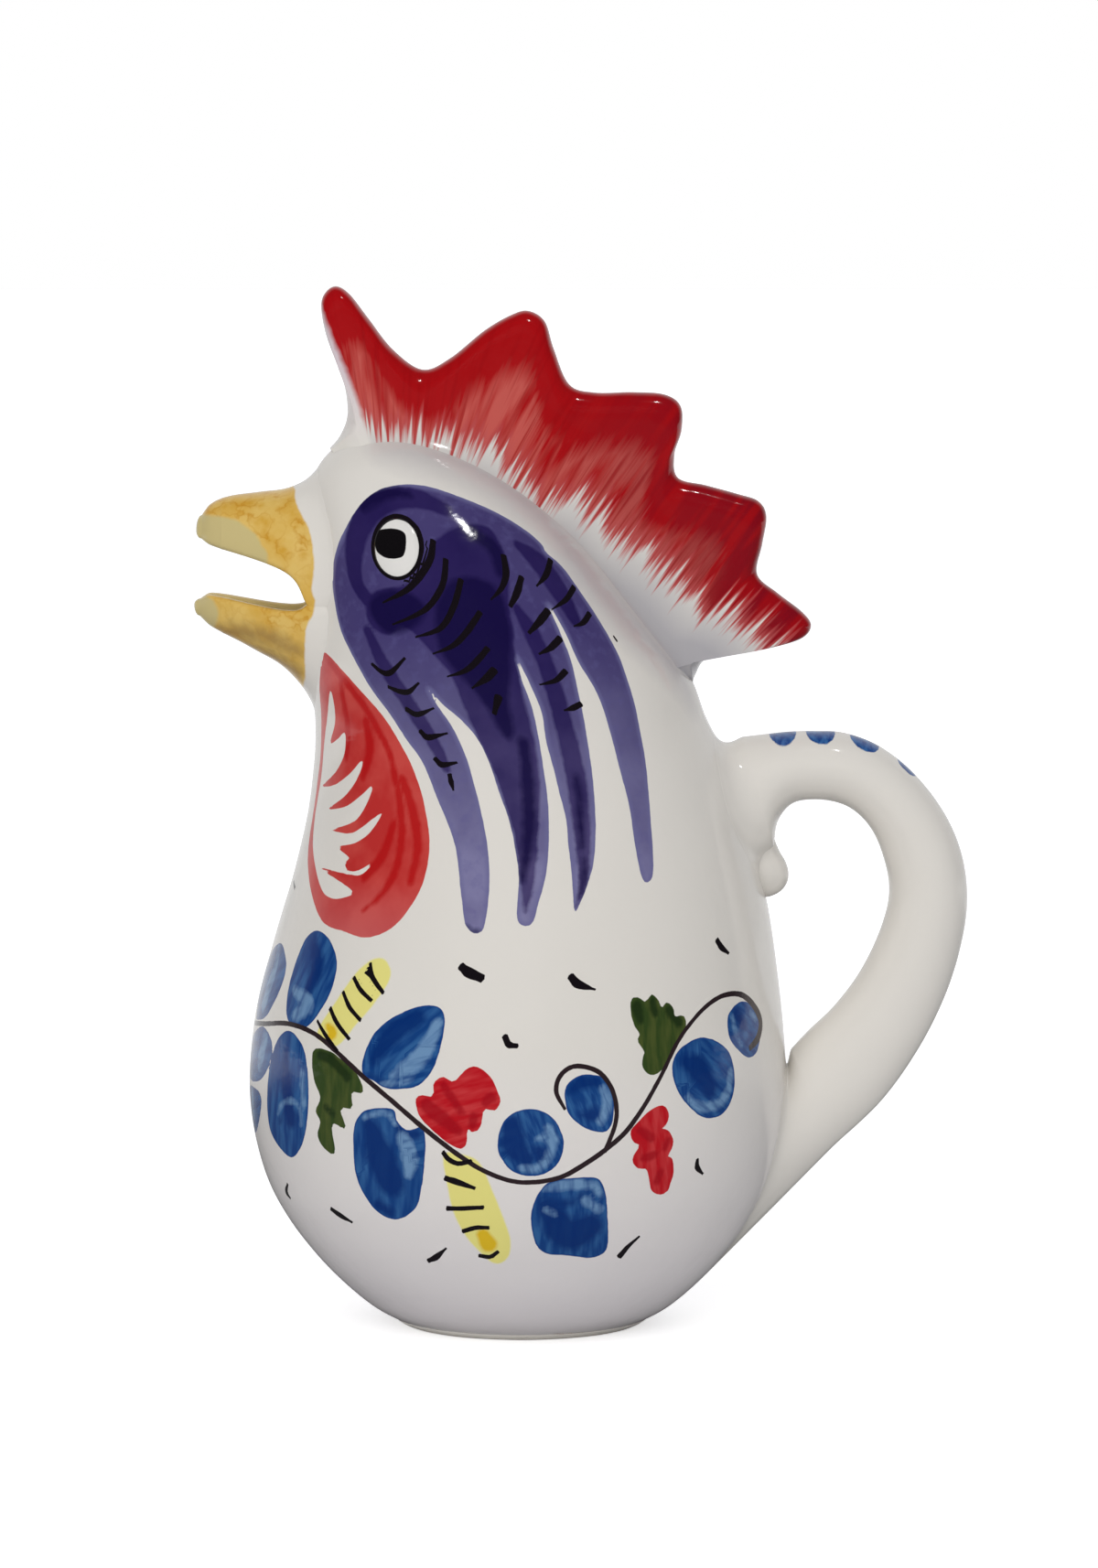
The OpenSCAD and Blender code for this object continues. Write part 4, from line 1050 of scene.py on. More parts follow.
part = np.minimum(q / edge[:, None], 1)
above_root = deep[:, None] - comb_sunk - q
fall = np.clip(1 - above_root / (comb_fillet_h + deep - comb_sunk - tall)[:, None], 0, 1)
# a quarter round from the crest over the edge, level along the flank, and a quarter round out to the flare
thick = (half[:, None] * np.sqrt(np.clip(1 - (1 - part) ** 2, 0, 1))
         + (full - half)[:, None] * (1 - np.sqrt(1 - fall ** 2)) * part)
flank = tips[:, None, :] + (spine - tips)[:, None, :] * (q / rib_l[:, None])[..., None]
left = np.stack([flank[..., 0], -thick, flank[..., 1]], axis=-1)
right = left[:, :0:-1] * [1, -1, 1]
comb_points, comb_faces = tube(np.concatenate([left, right], axis=1))
print("the comb stands out by up to", round(float(tall.max()), 1), "mm")

# %% Where the red brush was pulled
# where the strokes end, x and y in the picture, and the way the brush was pulled there, in degrees
sweep_foot = outline(386, 470, 398, 462, 422, 474, 450, 477, 475, 482, 503, 488, 526, 491, 548, 500,
                     560, 520, 577, 537, 596, 552, 620, 548, 642, 556, 655, 574, 669, 588, 691, 600,
                     710, 612, 728, 626, 742, 644, 760, 664, 785, 671, 806, 682, 828, 704, 850, 712)
sweep_turn = np.interp(sweep_foot[:, 0], [390, 430, 480, 540, 640, 760, 850], [100, 92, 78, 62, 55, 52, 42])
fine = round_curve(np.column_stack([sweep_foot, sweep_turn]), 8)
foot_at, pull = fine[:, :2] * MM_PER_DOT, np.radians(fine[:, 2])
pull = np.stack([np.cos(pull), -np.sin(pull)], axis=1)
print("the red ends along", len(foot_at), "places")

# %% The red on the comb: which pull a point lies on, and how far up it
span = np.concatenate([[0], np.cumsum(np.linalg.norm(np.diff(foot_at, axis=0), axis=1))])
at = dots_of(comb_points * [1, 0, 1]) * MM_PER_DOT
off = at[:, None, :] - foot_at[None]   # of each point from each place
# a pull's line goes through a point where this is zero, so the point lies between two pulls of unlike sign
cross = off[..., 0] * pull[:, 1] - off[..., 1] * pull[:, 0]
pick = np.arange(len(at))
best = np.abs(cross).argmin(axis=1)
after = np.minimum(best + 1, len(pull) - 1)
other = np.where(cross[pick, best] * cross[pick, after] < 0, after, np.maximum(best - 1, 0))
here, there = cross[pick, best], cross[pick, other]
between = np.where(here * there < 0, here / np.where(here == there, 1, here - there), 0.0)
ahead = (off * pull[None]).sum(axis=-1)
sweep_r = ahead[pick, best] + between * (ahead[pick, other] - ahead[pick, best])
sweep_t = span[best] + between * (span[other] - span[best])
rim_in = np.concatenate([np.concatenate([q, q[:, :0:-1]], axis=1).reshape(-1), [0, 0]])
front_edge = outline(330, 300, 349, 330, 356, 350, 371, 385, 386, 422, 397, 456, 404, 500, 330, 520,
                     320, 400)
front_bare = lay(np.full(len(at), FAR), at, [front_edge], flat)
comb_fields = {"sweep_t": sweep_t, "sweep_r": sweep_r, "rim_in": rim_in, "front_bare": front_bare}
make_piece("comb_skin", comb_points, comb_faces, ["comb"], "comb_glaze", comb_fields)

# %% [markdown]
# ## Eyes
#
# Each eye is a low button of clay on the side of the head, painted with a black pupil. The dome is
# the head's own surface raised by a half oval: most in the middle and nothing at the rim.


# %% Eyes
EYE_RINGS, EYE_AROUND = 16, 72
eye_sunk, eye_step = .8, 4.0   # how far the rim goes under the skin; half the span that gives the slope
rim_from, rim_scale = .94, 6.0   # the share where the black rim starts, and mm for one share


def eye_rings(side):
    """Rings of shares 1 to 0 of the oval, on the head's surface, raised by proud * sqrt(1 - share^2)."""
    share = np.cos(np.linspace(0, np.pi / 2, EYE_RINGS))[:-1]
    a = 2 * np.pi * np.arange(EYE_AROUND) / EYE_AROUND
    x = eye_x + eye_w / 2 * share[:, None] * np.cos(a)
    z = eye_z + eye_h / 2 * share[:, None] * np.sin(a)
    y = side_y(x, z)
    up = np.array([0, side_y(eye_x, eye_z + eye_step) - side_y(eye_x, eye_z - eye_step), 2 * eye_step])
    fore = np.array([2 * eye_step, side_y(eye_x + eye_step, eye_z) - side_y(eye_x - eye_step, eye_z), 0])
    n = np.cross(up, fore)
    n /= np.linalg.norm(n)
    n = n if n[1] > 0 else -n
    rings = np.stack([x, y, z], axis=-1) + (eye_proud * np.sqrt(1 - share ** 2))[:, None, None] * n
    under = np.stack([x[0], y[0], z[0]], axis=-1)[None] - n * eye_sunk
    rings = np.concatenate([under, rings])
    pole = np.array([eye_x, side_y(eye_x, eye_z), eye_z]) + eye_proud * n
    return rings * [1, side, 1], pole * [1, side, 1]


pupil = [
    outline(410, 590, 413, 581, 424, 578, 436, 579, 443, 584, 444, 596, 441, 607, 432, 610, 420, 609,
            411, 602)]
for side, node in ((-1, "left_eye"), (1, "right_eye")):
    rings, pole = eye_rings(side)
    points, faces = tube(rings, last=pole)
    at = dots_of(points * [1, 0, 1] + [0, -float(side_y(eye_x, eye_z)), 0]) * MM_PER_DOT
    inner = np.hypot((points[:, 0] - eye_x) / (eye_w / 2), (points[:, 2] - eye_z) / (eye_h / 2))
    make_piece(node + "_skin", points, faces, [node], "eye_glaze",
               {"pupil": lay(np.full(len(points), FAR), at, pupil, flat),
                "eye_rim": (inner - rim_from) * rim_scale})

# %% [markdown]
# ## Handle
#
# A strap of clay was pulled to an oval section, bent to a loop and pressed onto the neck and the
# belly, where it spreads. Its sections come from the solid's table. Between the last free section
# and the root's outline on the jug, each point follows a curve that leaves the strap along the
# strap and lands on the jug sideways, which gives the soft valley seen in the photograph.

# %% Handle helpers
handle_reach, handle_top, handle_low, handle_w = 42.5, 143.0, 7.0, 20.0
# outer x and z, inner x and z, and half the width, each as a share
handle_rows = np.array([[.496, .99, .566, .796, 1.22], [.55, .995, .574, .84, 1.13],
                        [.599, .999, .607, .872, 1.05], [.656, 1, .66, .879, 1], [.722, .997, .714, .872, 1],
                        [.8, .974, .755, .853, 1], [.878, .926, .789, .82, 1], [.947, .856, .812, .775, 1],
                        [.988, .78, .824, .73, 1], [1, .699, .82, .687, 1], [.986, .618, .796, .629, 1],
                        [.951, .529, .755, .566, 1], [.892, .435, .701, .51, 1.01],
                        [.81, .343, .646, .468, 1.05], [.707, .265, .607, .435, 1.14]])
root_grown, tuck_deep, end_deep = 1.04, .5, 2.5   # the root's last rings, wider and under the skin
HANDLE_AROUND, EASE_RINGS = 64, 26
strap_turn = -2 * np.pi * np.arange(HANDLE_AROUND) / HANDLE_AROUND


def handle_z(s):
    """Height of a share of the handle's own height."""
    return handle_low + (handle_top - handle_low) * s


def strap_rings(t):
    """Oval rings: the lines' middle, plus half their distance times cos and half the width times sin."""
    span_x = belly_r + handle_reach
    outer = np.stack([span_x * t[:, 0], 0 * t[:, 0], handle_z(t[:, 1])], axis=1)[:, None, :]
    inner = np.stack([span_x * t[:, 2], 0 * t[:, 0], handle_z(t[:, 3])], axis=1)[:, None, :]
    c = np.cos(strap_turn)[None, :, None]
    width = handle_w / 2 * t[:, 4][:, None] * np.sin(strap_turn)
    ring = (outer + inner) / 2 + (outer - inner) / 2 * c
    return ring + np.stack([0 * width, width, 0 * width], axis=-1)


def root_ring(top, low, wide, outer_up, grown=1.0, sunk=0.0):
    """The root's outline on the jug's back, grown about its middle and sunk. Its outer end is up or down."""
    y = grown * handle_w / 2 * wide * np.sin(strap_turn)
    half_tall = (handle_z(top) - handle_z(low)) / 2
    z = handle_z((top + low) / 2) + grown * outer_up * half_tall * np.cos(strap_turn)
    return np.stack([back_x(y, z) - sunk, y, z], axis=1)


def ease(a, slope_a, b, slope_b, steps):
    """Rings between a and b by Hermite's cubic, which has those two slopes at its ends."""
    t = np.linspace(0, 1, steps)[1:-1, None, None]
    return ((1 + 2 * t) * (1 - t) ** 2 * a + t * (1 - t) ** 2 * slope_a
            + t * t * (3 - 2 * t) * b + t * t * (t - 1) * slope_b)


def landing(top, low, wide, outer_up, pull):
    """The outline, the direction in which it grows on the jug, and two rings that tuck it under the skin."""
    here = root_ring(top, low, wide, outer_up)
    outwards = (root_ring(top, low, wide, outer_up, root_grown) - here) / (root_grown - 1) * pull
    tuck, end = (root_ring(top, low, wide, outer_up, root_grown, sunk) for sunk in (tuck_deep, end_deep))
    return here, outwards, tuck, end


# %% Handle
strap = strap_rings(round_curve(handle_rows, 10))
up_root, up_out, up_tuck, up_end = landing(top=1.0, low=.735, wide=1.95, outer_up=1, pull=.85)
down_root, down_out, down_tuck, down_end = landing(top=.43, low=0, wide=1.65, outer_up=-1, pull=.7)
# along the strap at its ends: the longer this slope, the rounder the curve into the root
up_way, down_way = (strap[3] - strap[0]) * 3.0, (strap[-1] - strap[-4]) * 2.5
handle_rings = np.concatenate([
    [up_end, up_tuck, up_root], ease(up_root, -up_out, strap[0], up_way, EASE_RINGS), strap,
    ease(strap[-1], down_way, down_root, down_out, EASE_RINGS), [down_root, down_tuck, down_end]])
handle_points, handle_faces = tube(handle_rings)
print("the handle has", len(handle_rings), "rings")

# %% Blue dabs across the ridge, as a distance, and the handle as a piece
# their middles in the picture, half length along the ridge and half width across, in mm
ridge = handle_rings[:, 0]
ridge_s = np.concatenate([[0], np.cumsum(np.linalg.norm(np.diff(ridge, axis=0), axis=1))])
ridge_dots = dots_of(ridge)
dabs = [(856, 802, 3.2, 7.4), (896, 802, 3.5, 7.2), (947, 808, 3.9, 6.6), (993, 838, 3.0, 4.4)]
dab_field = np.full(len(handle_points), FAR)
bristle_mm = 8.0   # one unit of the brush's own place
along = np.repeat(ridge_s, HANDLE_AROUND)
around_y = np.abs(handle_points[:-2, 1])
upper_half = np.tile(np.cos(strap_turn) > -.2, len(handle_rings))
for dx, dy, half_l, half_w in dabs:
    s0 = ridge_s[np.argmin(np.hypot(ridge_dots[:, 0] - dx, ridge_dots[:, 1] - dy))]
    d = (1 - np.cbrt(np.abs((along - s0) / half_l) ** 3 + (around_y / half_w) ** 3)) * half_l
    dab_field[:-2] = np.where(upper_half, np.maximum(dab_field[:-2], d), dab_field[:-2])
make_piece("handle_strap", handle_points, handle_faces, ["handle"], "handle_glaze",
           {"dab": dab_field, "dab_v": np.concatenate([handle_points[:-2, 1] / bristle_mm, [0, 0]]),
            "dab_u": np.concatenate([along / bristle_mm, [0, 0]])})

# %% [markdown]
# ## Scroll and foot
#
# Under the upper root the strap's end is rolled in to a small knob. Its outline in the middle plane
# is drawn, and shrinks towards both sides by a blunt power, which rounds a knob more simply
# than a real coil whose turns nobody can see. The jug stands on a flat foot, a profile turned round
# its axis. It is bare clay, as glaze there would stick to the kiln's shelf.

# %% Scroll under the upper root
# its outline in the middle plane, as [x, z]: down the strap's inner side, round the roll, back into the neck
roll_line = outline(58.6, 121.4, 60.3, 119, 61, 116.6, 62.1, 114, 63.5, 111.6, 64.2, 109.3, 64.1, 107,
                    62.9, 104.9, 60.9, 103.5, 58.4, 103, 55.6, 104.4, 54.2, 109, 54.6, 115, 56.4, 120)
roll_line = round_curve(roll_line, PATCH_STEPS, closed=True)
roll_heart = np.array([56.5, 111.0])
scroll_half, blunt, SCROLL_RINGS = 7.2, .45, 33
share = np.sin(np.linspace(-np.pi / 2, np.pi / 2, SCROLL_RINGS + 2))[1:-1]
shrink = (1 - share ** 2)[:, None, None] ** blunt
flat_rings = roll_heart + (roll_line - roll_heart) * shrink
y = (scroll_half * share)[:, None] + 0 * flat_rings[..., 0]
sag = back_x(0 * y, flat_rings[..., 1]) - back_x(y, flat_rings[..., 1])
scroll_rings = np.stack([flat_rings[..., 0] - sag, y, flat_rings[..., 1]], axis=-1)
none = np.full(scroll_rings.shape[0] * scroll_rings.shape[1] + 2, FAR)
make_piece("scroll_knob", *tube(scroll_rings), ["handle_scroll"], "handle_glaze",
           {"dab": none, "dab_v": 0 * none, "dab_u": 0 * none})

# %% Foot
FOOT_AROUND = 144
foot_in_skin = .3
foot_top = foot_t + foot_in_skin
# radius and height, from the middle of the underside up its slanted edge
foot_profile = np.array([[.05, 0], [foot_r - 3, 0], [foot_r - 2.2, .12], [foot_r - 1.4, .5],
                         [foot_r - .5, 1.1], [foot_r + .2, foot_top]])
a = 2 * np.pi * np.arange(FOOT_AROUND) / FOOT_AROUND
rings = np.stack([np.outer(foot_profile[:, 0], np.cos(a)), np.outer(foot_profile[:, 0], np.sin(a)),
                  np.repeat(foot_profile[:, 1:], FOOT_AROUND, axis=1)], axis=-1)
make_piece("foot_ring", *tube(rings, np.zeros(3), np.array([0, 0, foot_top])), ["foot"], "bare_clay")

# %% [markdown]
# ## Finishes
#
# One group cuts a brush mark out of its distance, with a slightly unsteady hand. Another gives the
# streaks that bristles leave. Each material lays its colours over white, one mark after another,
# and ends in a glossy surface with the faint unevenness of poured glaze.


# %% Node helpers
def rgb(r, g, b):
    """A colour as a screen shows it, 0 to 255, in the linear values that a shader takes."""
    c = np.array([r, g, b]) / 255
    return (*np.where(c <= .04045, c / 12.92, ((c + .055) / 1.055) ** 2.4).tolist(), 1.0)


def node(tree, kind, **settings):
    """A new node with its settings."""
    made = tree.nodes.new(kind)
    for key, value in settings.items():
        setattr(made, key, value)
    return made


def feed(tree, socket, value):
    """Sets a plain number or colour on a socket, or links another node's output to it."""
    if isinstance(value, (int, float, tuple)):
        socket.default_value = value
    else:
        tree.links.new(value, socket)


def math_node(tree, how, a, b=None, c=None, clamp=False):
    """The output of one step of arithmetic."""
    made = node(tree, "ShaderNodeMath", operation=how, use_clamp=clamp)
    for k, v in enumerate((a, b, c)):
        if v is not None:
            feed(tree, made.inputs[k], v)
    return made.outputs[0]


def new_group(name, inputs, outputs):
    """An empty group with float inputs [(name, value)] and outputs [(name, socket type)]."""
    group = bpy.data.node_groups.new(name, "ShaderNodeTree")
    for key, value in inputs:
        socket = group.interface.new_socket(key, in_out="INPUT", socket_type="NodeSocketFloat")
        socket.default_value = value
    for key, kind in outputs:
        group.interface.new_socket(key, in_out="OUTPUT", socket_type=kind)
    return group, node(group, "NodeGroupInput"), node(group, "NodeGroupOutput")


def object_place(tree):
    """Object coordinates, which for these pieces are the real place in metres."""
    return node(tree, "ShaderNodeTexCoord").outputs["Object"]


def noise(tree, scale, detail=2.0, vector=None, rough=.5):
    """Cloudy values around a half."""
    made = node(tree, "ShaderNodeTexNoise")
    made.inputs["Scale"].default_value = scale
    made.inputs["Detail"].default_value = detail
    made.inputs["Roughness"].default_value = rough
    tree.links.new(object_place(tree) if vector is None else vector, made.inputs["Vector"])
    return made.outputs["Fac"]


# %% Brush edge: a distance becomes a mask
edge_group, g_in, g_out = new_group("Brush Edge", [("Depth", 0.0), ("Wobble", .3), ("Blur", .12)],
                                    [("Mask", "NodeSocketFloat")])
shake = math_node(edge_group, "SUBTRACT", noise(edge_group, 420, 3.0), .5)
moved = math_node(edge_group, "MULTIPLY_ADD", shake, g_in.outputs["Wobble"], g_in.outputs["Depth"])
cut = math_node(edge_group, "DIVIDE", moved, g_in.outputs["Blur"])
mask = math_node(edge_group, "ADD", cut, .5, clamp=True)
edge_group.links.new(mask, g_out.inputs["Mask"])

# %% Brush line: a thin line's offset and half width become a mask
line_group, g_in, g_out = new_group(
    "Brush Line", [("Near", 0.0), ("Side", 0.0), ("Half", 0.0), ("Wobble", .2), ("Blur", .1)],
    [("Mask", "NodeSocketFloat")])
shake = math_node(line_group, "SUBTRACT", noise(line_group, 500, 2.0), .5)
shake = math_node(line_group, "MULTIPLY", shake, g_in.outputs["Wobble"])
away = math_node(line_group, "ABSOLUTE", g_in.outputs["Side"])
inside = math_node(line_group, "SUBTRACT", g_in.outputs["Half"], away)
inside = math_node(line_group, "DIVIDE", math_node(line_group, "ADD", inside, shake), g_in.outputs["Blur"])
inside = math_node(line_group, "ADD", inside, .5, clamp=True)
close = math_node(line_group, "MULTIPLY_ADD", g_in.outputs["Near"], 8.0, 4.4, clamp=True)
line_group.links.new(math_node(line_group, "MULTIPLY", inside, close), g_out.inputs["Mask"])

# %% Bristle streaks: fine across the stroke, long along it
streak_group, g_in, g_out = new_group(
    "Bristle Streaks", [("Along", 0.0), ("Across", 0.0), ("Fineness", 12.0), ("Length", 1.5)],
    [("Tone", "NodeSocketFloat")])
across = math_node(streak_group, "MULTIPLY", g_in.outputs["Across"], g_in.outputs["Fineness"])
along_s = math_node(streak_group, "MULTIPLY", g_in.outputs["Along"], g_in.outputs["Length"])
pair = node(streak_group, "ShaderNodeCombineXYZ")
streak_group.links.new(along_s, pair.inputs[0])
streak_group.links.new(across, pair.inputs[1])
tone = noise(streak_group, 1.0, 2.0, pair.outputs[0], .5)
streak_group.links.new(tone, g_out.inputs["Tone"])

# %% Glaze relief: slow waves of the poured glaze
glaze_group, g_in, g_out = new_group(
    "Glaze Relief", [("Waves", 1.0)], [("Height", "NodeSocketFloat"), ("Roughness", "NodeSocketFloat")])
slow = noise(glaze_group, 38, 1.0)
grain = noise(glaze_group, 260, 2.0)
height_sum = math_node(glaze_group, "MULTIPLY_ADD", grain, .12, slow)
height_sum = math_node(glaze_group, "MULTIPLY", height_sum, g_in.outputs["Waves"])
glaze_group.links.new(height_sum, g_out.inputs["Height"])
glaze_group.links.new(math_node(glaze_group, "MULTIPLY_ADD", grain, .06, .07), g_out.inputs["Roughness"])
print("the glaze uses the groups", [g.name for g in bpy.data.node_groups])


# %% Material helpers
class Coat:
    """Lays colours over each other in one material's tree, and ends in the glossy surface."""

    def __init__(self, name, base, waves=1.0, relief=.0006, rough=None):
        self.material = bpy.data.materials.new(name)
        self.material.use_nodes = True
        self.tree = self.material.node_tree
        self.tree.nodes.clear()
        self.shader = node(self.tree, "ShaderNodeBsdfPrincipled")
        self.shader.inputs["IOR"].default_value = 1.5
        out = node(self.tree, "ShaderNodeOutputMaterial")
        self.tree.links.new(self.shader.outputs[0], out.inputs[0])
        glaze = self.group(glaze_group, Waves=waves).outputs
        bump = node(self.tree, "ShaderNodeBump")
        bump.inputs["Strength"].default_value = 1.0
        bump.inputs["Distance"].default_value = relief
        self.tree.links.new(glaze["Height"], bump.inputs["Height"])
        self.tree.links.new(bump.outputs[0], self.shader.inputs["Normal"])
        feed(self.tree, self.shader.inputs["Roughness"], glaze["Roughness"] if rough is None else rough)
        base_colour = node(self.tree, "ShaderNodeRGB")
        base_colour.outputs[0].default_value = base
        self.colour = base_colour.outputs[0]

    def group(self, tree, **values):
        """One of the groups above, with its inputs."""
        made = node(self.tree, "ShaderNodeGroup")
        made.node_tree = tree
        for key, value in values.items():
            feed(self.tree, made.inputs[key], value)
        return made

    def field(self, key):
        """A distance kept on the surface."""
        return node(self.tree, "ShaderNodeAttribute", attribute_name=key).outputs["Fac"]

    def place(self):
        """The three sockets of the real place in metres."""
        made = node(self.tree, "ShaderNodeSeparateXYZ")
        self.tree.links.new(object_place(self.tree), made.inputs[0])
        return made.outputs

    def edge(self, key, wobble=.3, blur=.12):
        """1 inside the marks of a field. Wobble and blur are in mm."""
        return self.group(edge_group, Depth=self.field(key), Wobble=wobble, Blur=blur).outputs["Mask"]

    def line(self, key):
        """1 on the thin lines of a field."""
        return self.group(line_group, Near=self.field(key + "_near"), Side=self.field(key + "_side"),
                          Half=self.field(key + "_half")).outputs["Mask"]

    def streaks(self, along, across, fineness, length):
        """Bristle streaks in a brush's own directions, around a half."""
        return self.group(streak_group, Along=self.field(along), Across=self.field(across),
                          Fineness=fineness, Length=length).outputs["Tone"]

    def math(self, how, a, b=None, c=None, clamp=False):
        """One step of arithmetic in this tree."""
        return math_node(self.tree, how, a, b, c, clamp)

    def times(self, a, b):
        """a times b."""
        return self.math("MULTIPLY", a, b)

    def noise(self, scale, detail=2.0):
        """Cloudy values at the real place."""
        return noise(self.tree, scale, detail)

    def ramp(self, value, low, high):
        """Value from low to high becomes 0 to 1."""
        made = node(self.tree, "ShaderNodeMapRange")
        self.tree.links.new(value, made.inputs["Value"])
        made.inputs["From Min"].default_value, made.inputs["From Max"].default_value = low, high
        return made.outputs["Result"]

    def blend(self, one, two, amount):
        """Colour one where the amount is 0, and colour two where it is 1."""
        made = node(self.tree, "ShaderNodeMix", data_type="RGBA")
        for k, value in ((0, amount), (6, one), (7, two)):
            feed(self.tree, made.inputs[k], value)
        return made.outputs[2]

    def lay(self, colour, amount):
        """Lays a colour over what is there."""
        self.colour = self.blend(self.colour, colour, amount)

    def finish(self, *names):
        """Ends the material and gives it to the pieces of these names."""
        self.tree.links.new(self.colour, self.shader.inputs["Base Color"])
        for name in names:
            bpy.data.objects[name].data.materials.append(self.material)
        print(self.material.name, "has", len(self.tree.nodes), "nodes and dresses", ", ".join(names))


# %% [markdown]
# ## The painted glaze of belly and head
#
# White tin glaze is opaque, and the colours are washes of metal oxide that sink into it in the
# firing. So nothing stands proud, and a mark is only a change of colour. It is darker where the
# brush rested and lighter where it left. Images could hold this, but a distance and a few colours
# stay sharp from near, and each mark can be moved by itself.

# %% Painted glaze: white, with painted cool light low down and painted shade under the comb
WHITE = rgb(233, 229, 222)
body = Coat("painted_glaze", WHITE)
cloud, fine_cloud = body.noise(90, 3.0), body.noise(420, 3.0)
streaks = body.streaks("brush_u", "brush_v", 5.0, 1.0)
up = body.place()["Z"]

# painted light: a cooler tint low down stands in for cool light from below; painted shade: grey in the hollow
# under the comb
body.lay(rgb(233, 229, 231), body.ramp(up, .075, .01))
# painted shade: grey over the hollow under the comb
body.lay(rgb(176, 172, 178), body.times(body.edge("hollow", 1.5, 11.0), .62))

# %% Painted glaze: the feathers, a wash that pales towards the tips under two blotchy darker coats
wash_tone = body.ramp(cloud, .35, .65)
pale = body.ramp(up, .168, .1)
wash = body.blend(rgb(74, 66, 118), rgb(142, 140, 180), pale)
wash = body.blend(wash, rgb(62, 52, 108), body.times(wash_tone, .35))
wash = body.blend(wash, rgb(96, 92, 146), body.times(body.ramp(fine_cloud, .5, .68), .3))
wash = body.blend(rgb(112, 110, 156), wash, body.ramp(body.field("feather"), 0.0, 1.3))
feather_mask = body.edge("feather", .25, .14)
body.lay(wash, feather_mask)
coat = body.blend(rgb(42, 30, 88), rgb(86, 76, 124), pale)
coat = body.blend(coat, rgb(30, 18, 78), body.times(wash_tone, .6))
body.lay(coat, body.times(body.times(body.edge("feather_coat", .9, .8), .95), feather_mask))
body.lay(rgb(18, 8, 62), body.times(body.times(body.edge("feather_deep", 1.2, 1.6), .88), feather_mask))

# %% Painted glaze: the wattle, a translucent red with bare slits and barbs between them
red_wash = body.blend(rgb(208, 76, 70), rgb(196, 50, 48), body.ramp(cloud, .38, .62))
red_wash = body.blend(red_wash, rgb(206, 104, 104), body.times(body.ramp(up, .112, .096), .8))
not_bare = body.math("SUBTRACT", 1.0, body.edge("wattle_bare", .25, .14))
wattle_colour = body.blend(red_wash, rgb(186, 14, 18), body.times(body.edge("wattle_coat", 1.0, 1.0), .85))
body.lay(wattle_colour, body.times(body.edge("wattle", .3, .14), not_bare))

# %% Painted glaze: leaves and berries, dark where the loaded brush rested and thin where it left
thin = body.ramp(streaks, .4, .62)
blue = body.blend(rgb(16, 64, 130), rgb(48, 98, 156), thin)
blue = body.blend(blue, rgb(2, 46, 114), body.times(body.edge("blue_dark", 1.6, 1.8), .92))
lifted = body.times(body.edge("blue_light", 1.6, 1.1), body.ramp(streaks, .25, .55))
blue = body.blend(blue, rgb(112, 150, 190), lifted)
blue = body.blend(rgb(24, 66, 134), blue, body.ramp(body.field("blue"), .1, .5))
body.lay(blue, body.edge("blue", .35, .14))
green = body.blend(rgb(52, 72, 32), rgb(76, 88, 42), thin)
green = body.blend(green, rgb(32, 50, 22), body.times(body.edge("green_dark", .8, .9), .9))
body.lay(green, body.edge("green", .35, .14))
red = body.blend(rgb(190, 16, 30), rgb(204, 56, 60), thin)
red = body.blend(red, rgb(166, 4, 24), body.times(body.edge("red_dark", .8, .8), .8))
body.lay(red, body.edge("red", .3, .14))
body.lay(rgb(238, 230, 138), body.edge("yellow", .3, .5))
body.lay(rgb(228, 190, 40), body.edge("gold", .5, .9))
body.lay(rgb(218, 180, 88), body.times(body.edge("spill", .6, .5), .7))

# %% Painted glaze: black comes last, and the vine's thinner line is a little brown
for stem in ("vine", "twig"):
    body.lay(rgb(46, 34, 38), body.line(stem))
body.lay(rgb(20, 14, 20), body.line("black"))

# bare clay shows in a thin broken line where the glaze was wiped above the foot
low_line = body.math("MULTIPLY_ADD", fine_cloud, .0016, .0010)
body.lay(rgb(158, 104, 74), body.times(body.math("LESS_THAN", up, low_line), body.ramp(cloud, .5, .7)))
body.finish("belly_skin", "head_skin")

# %% [markdown]
# ## The comb's red
#
# A broad flat brush was set on the crest and pulled towards the head, so the red is streaky along
# its pull and ends ragged where it ran dry. Noise stretched along the pull gives both: it streaks
# the colour, and it moves the place where the colour ends.

# %% Comb: ragged ends and streaks
comb = Coat("comb_glaze", WHITE)
sweep = comb.streaks("sweep_r", "sweep_t", .95, .03)
broad = comb.streaks("sweep_r", "sweep_t", .24, .03)
ragged = comb.math("MULTIPLY_ADD", comb.math("SUBTRACT", sweep, .5), 25.0, comb.field("sweep_r"))
ragged = comb.math("MULTIPLY_ADD", comb.math("SUBTRACT", broad, .5), 16.0, ragged)
rim_depth = comb.math("MULTIPLY_ADD", comb.math("SUBTRACT", broad, .5), -26.0, comb.field("rim_in"))
rim_near = comb.math("SUBTRACT", 1.0, comb.ramp(rim_depth, 1.5, 15.0), clamp=True)
comb_at = comb.place()
to_back = comb.ramp(comb_at["X"], 0.0, .06)

# %% Comb: thin pink where the brush left, deep red at the rim, painted shade towards the back and over the root
mixed = comb.math("MULTIPLY_ADD", sweep, .35, comb.times(broad, .8))
pink = comb.ramp(comb.math("MULTIPLY_ADD", rim_near, -.3, mixed), .5, .64)
comb_red = comb.blend(rgb(176, 14, 20), rgb(208, 98, 90), comb.times(pink, .9))
comb_red = comb.blend(comb_red, rgb(160, 6, 14), comb.times(comb.ramp(sweep, .5, .66), .7))
comb_red = comb.blend(comb_red, rgb(172, 4, 12), comb.times(rim_near, .6))
# painted shade: the red darkens towards the back of the comb, where less light falls
comb_back_shade = comb.times(to_back, comb.math("MULTIPLY_ADD", comb.ramp(broad, .44, .56), .5, .25))
comb_red = comb.blend(comb_red, rgb(120, 8, 28), comb_back_shade)
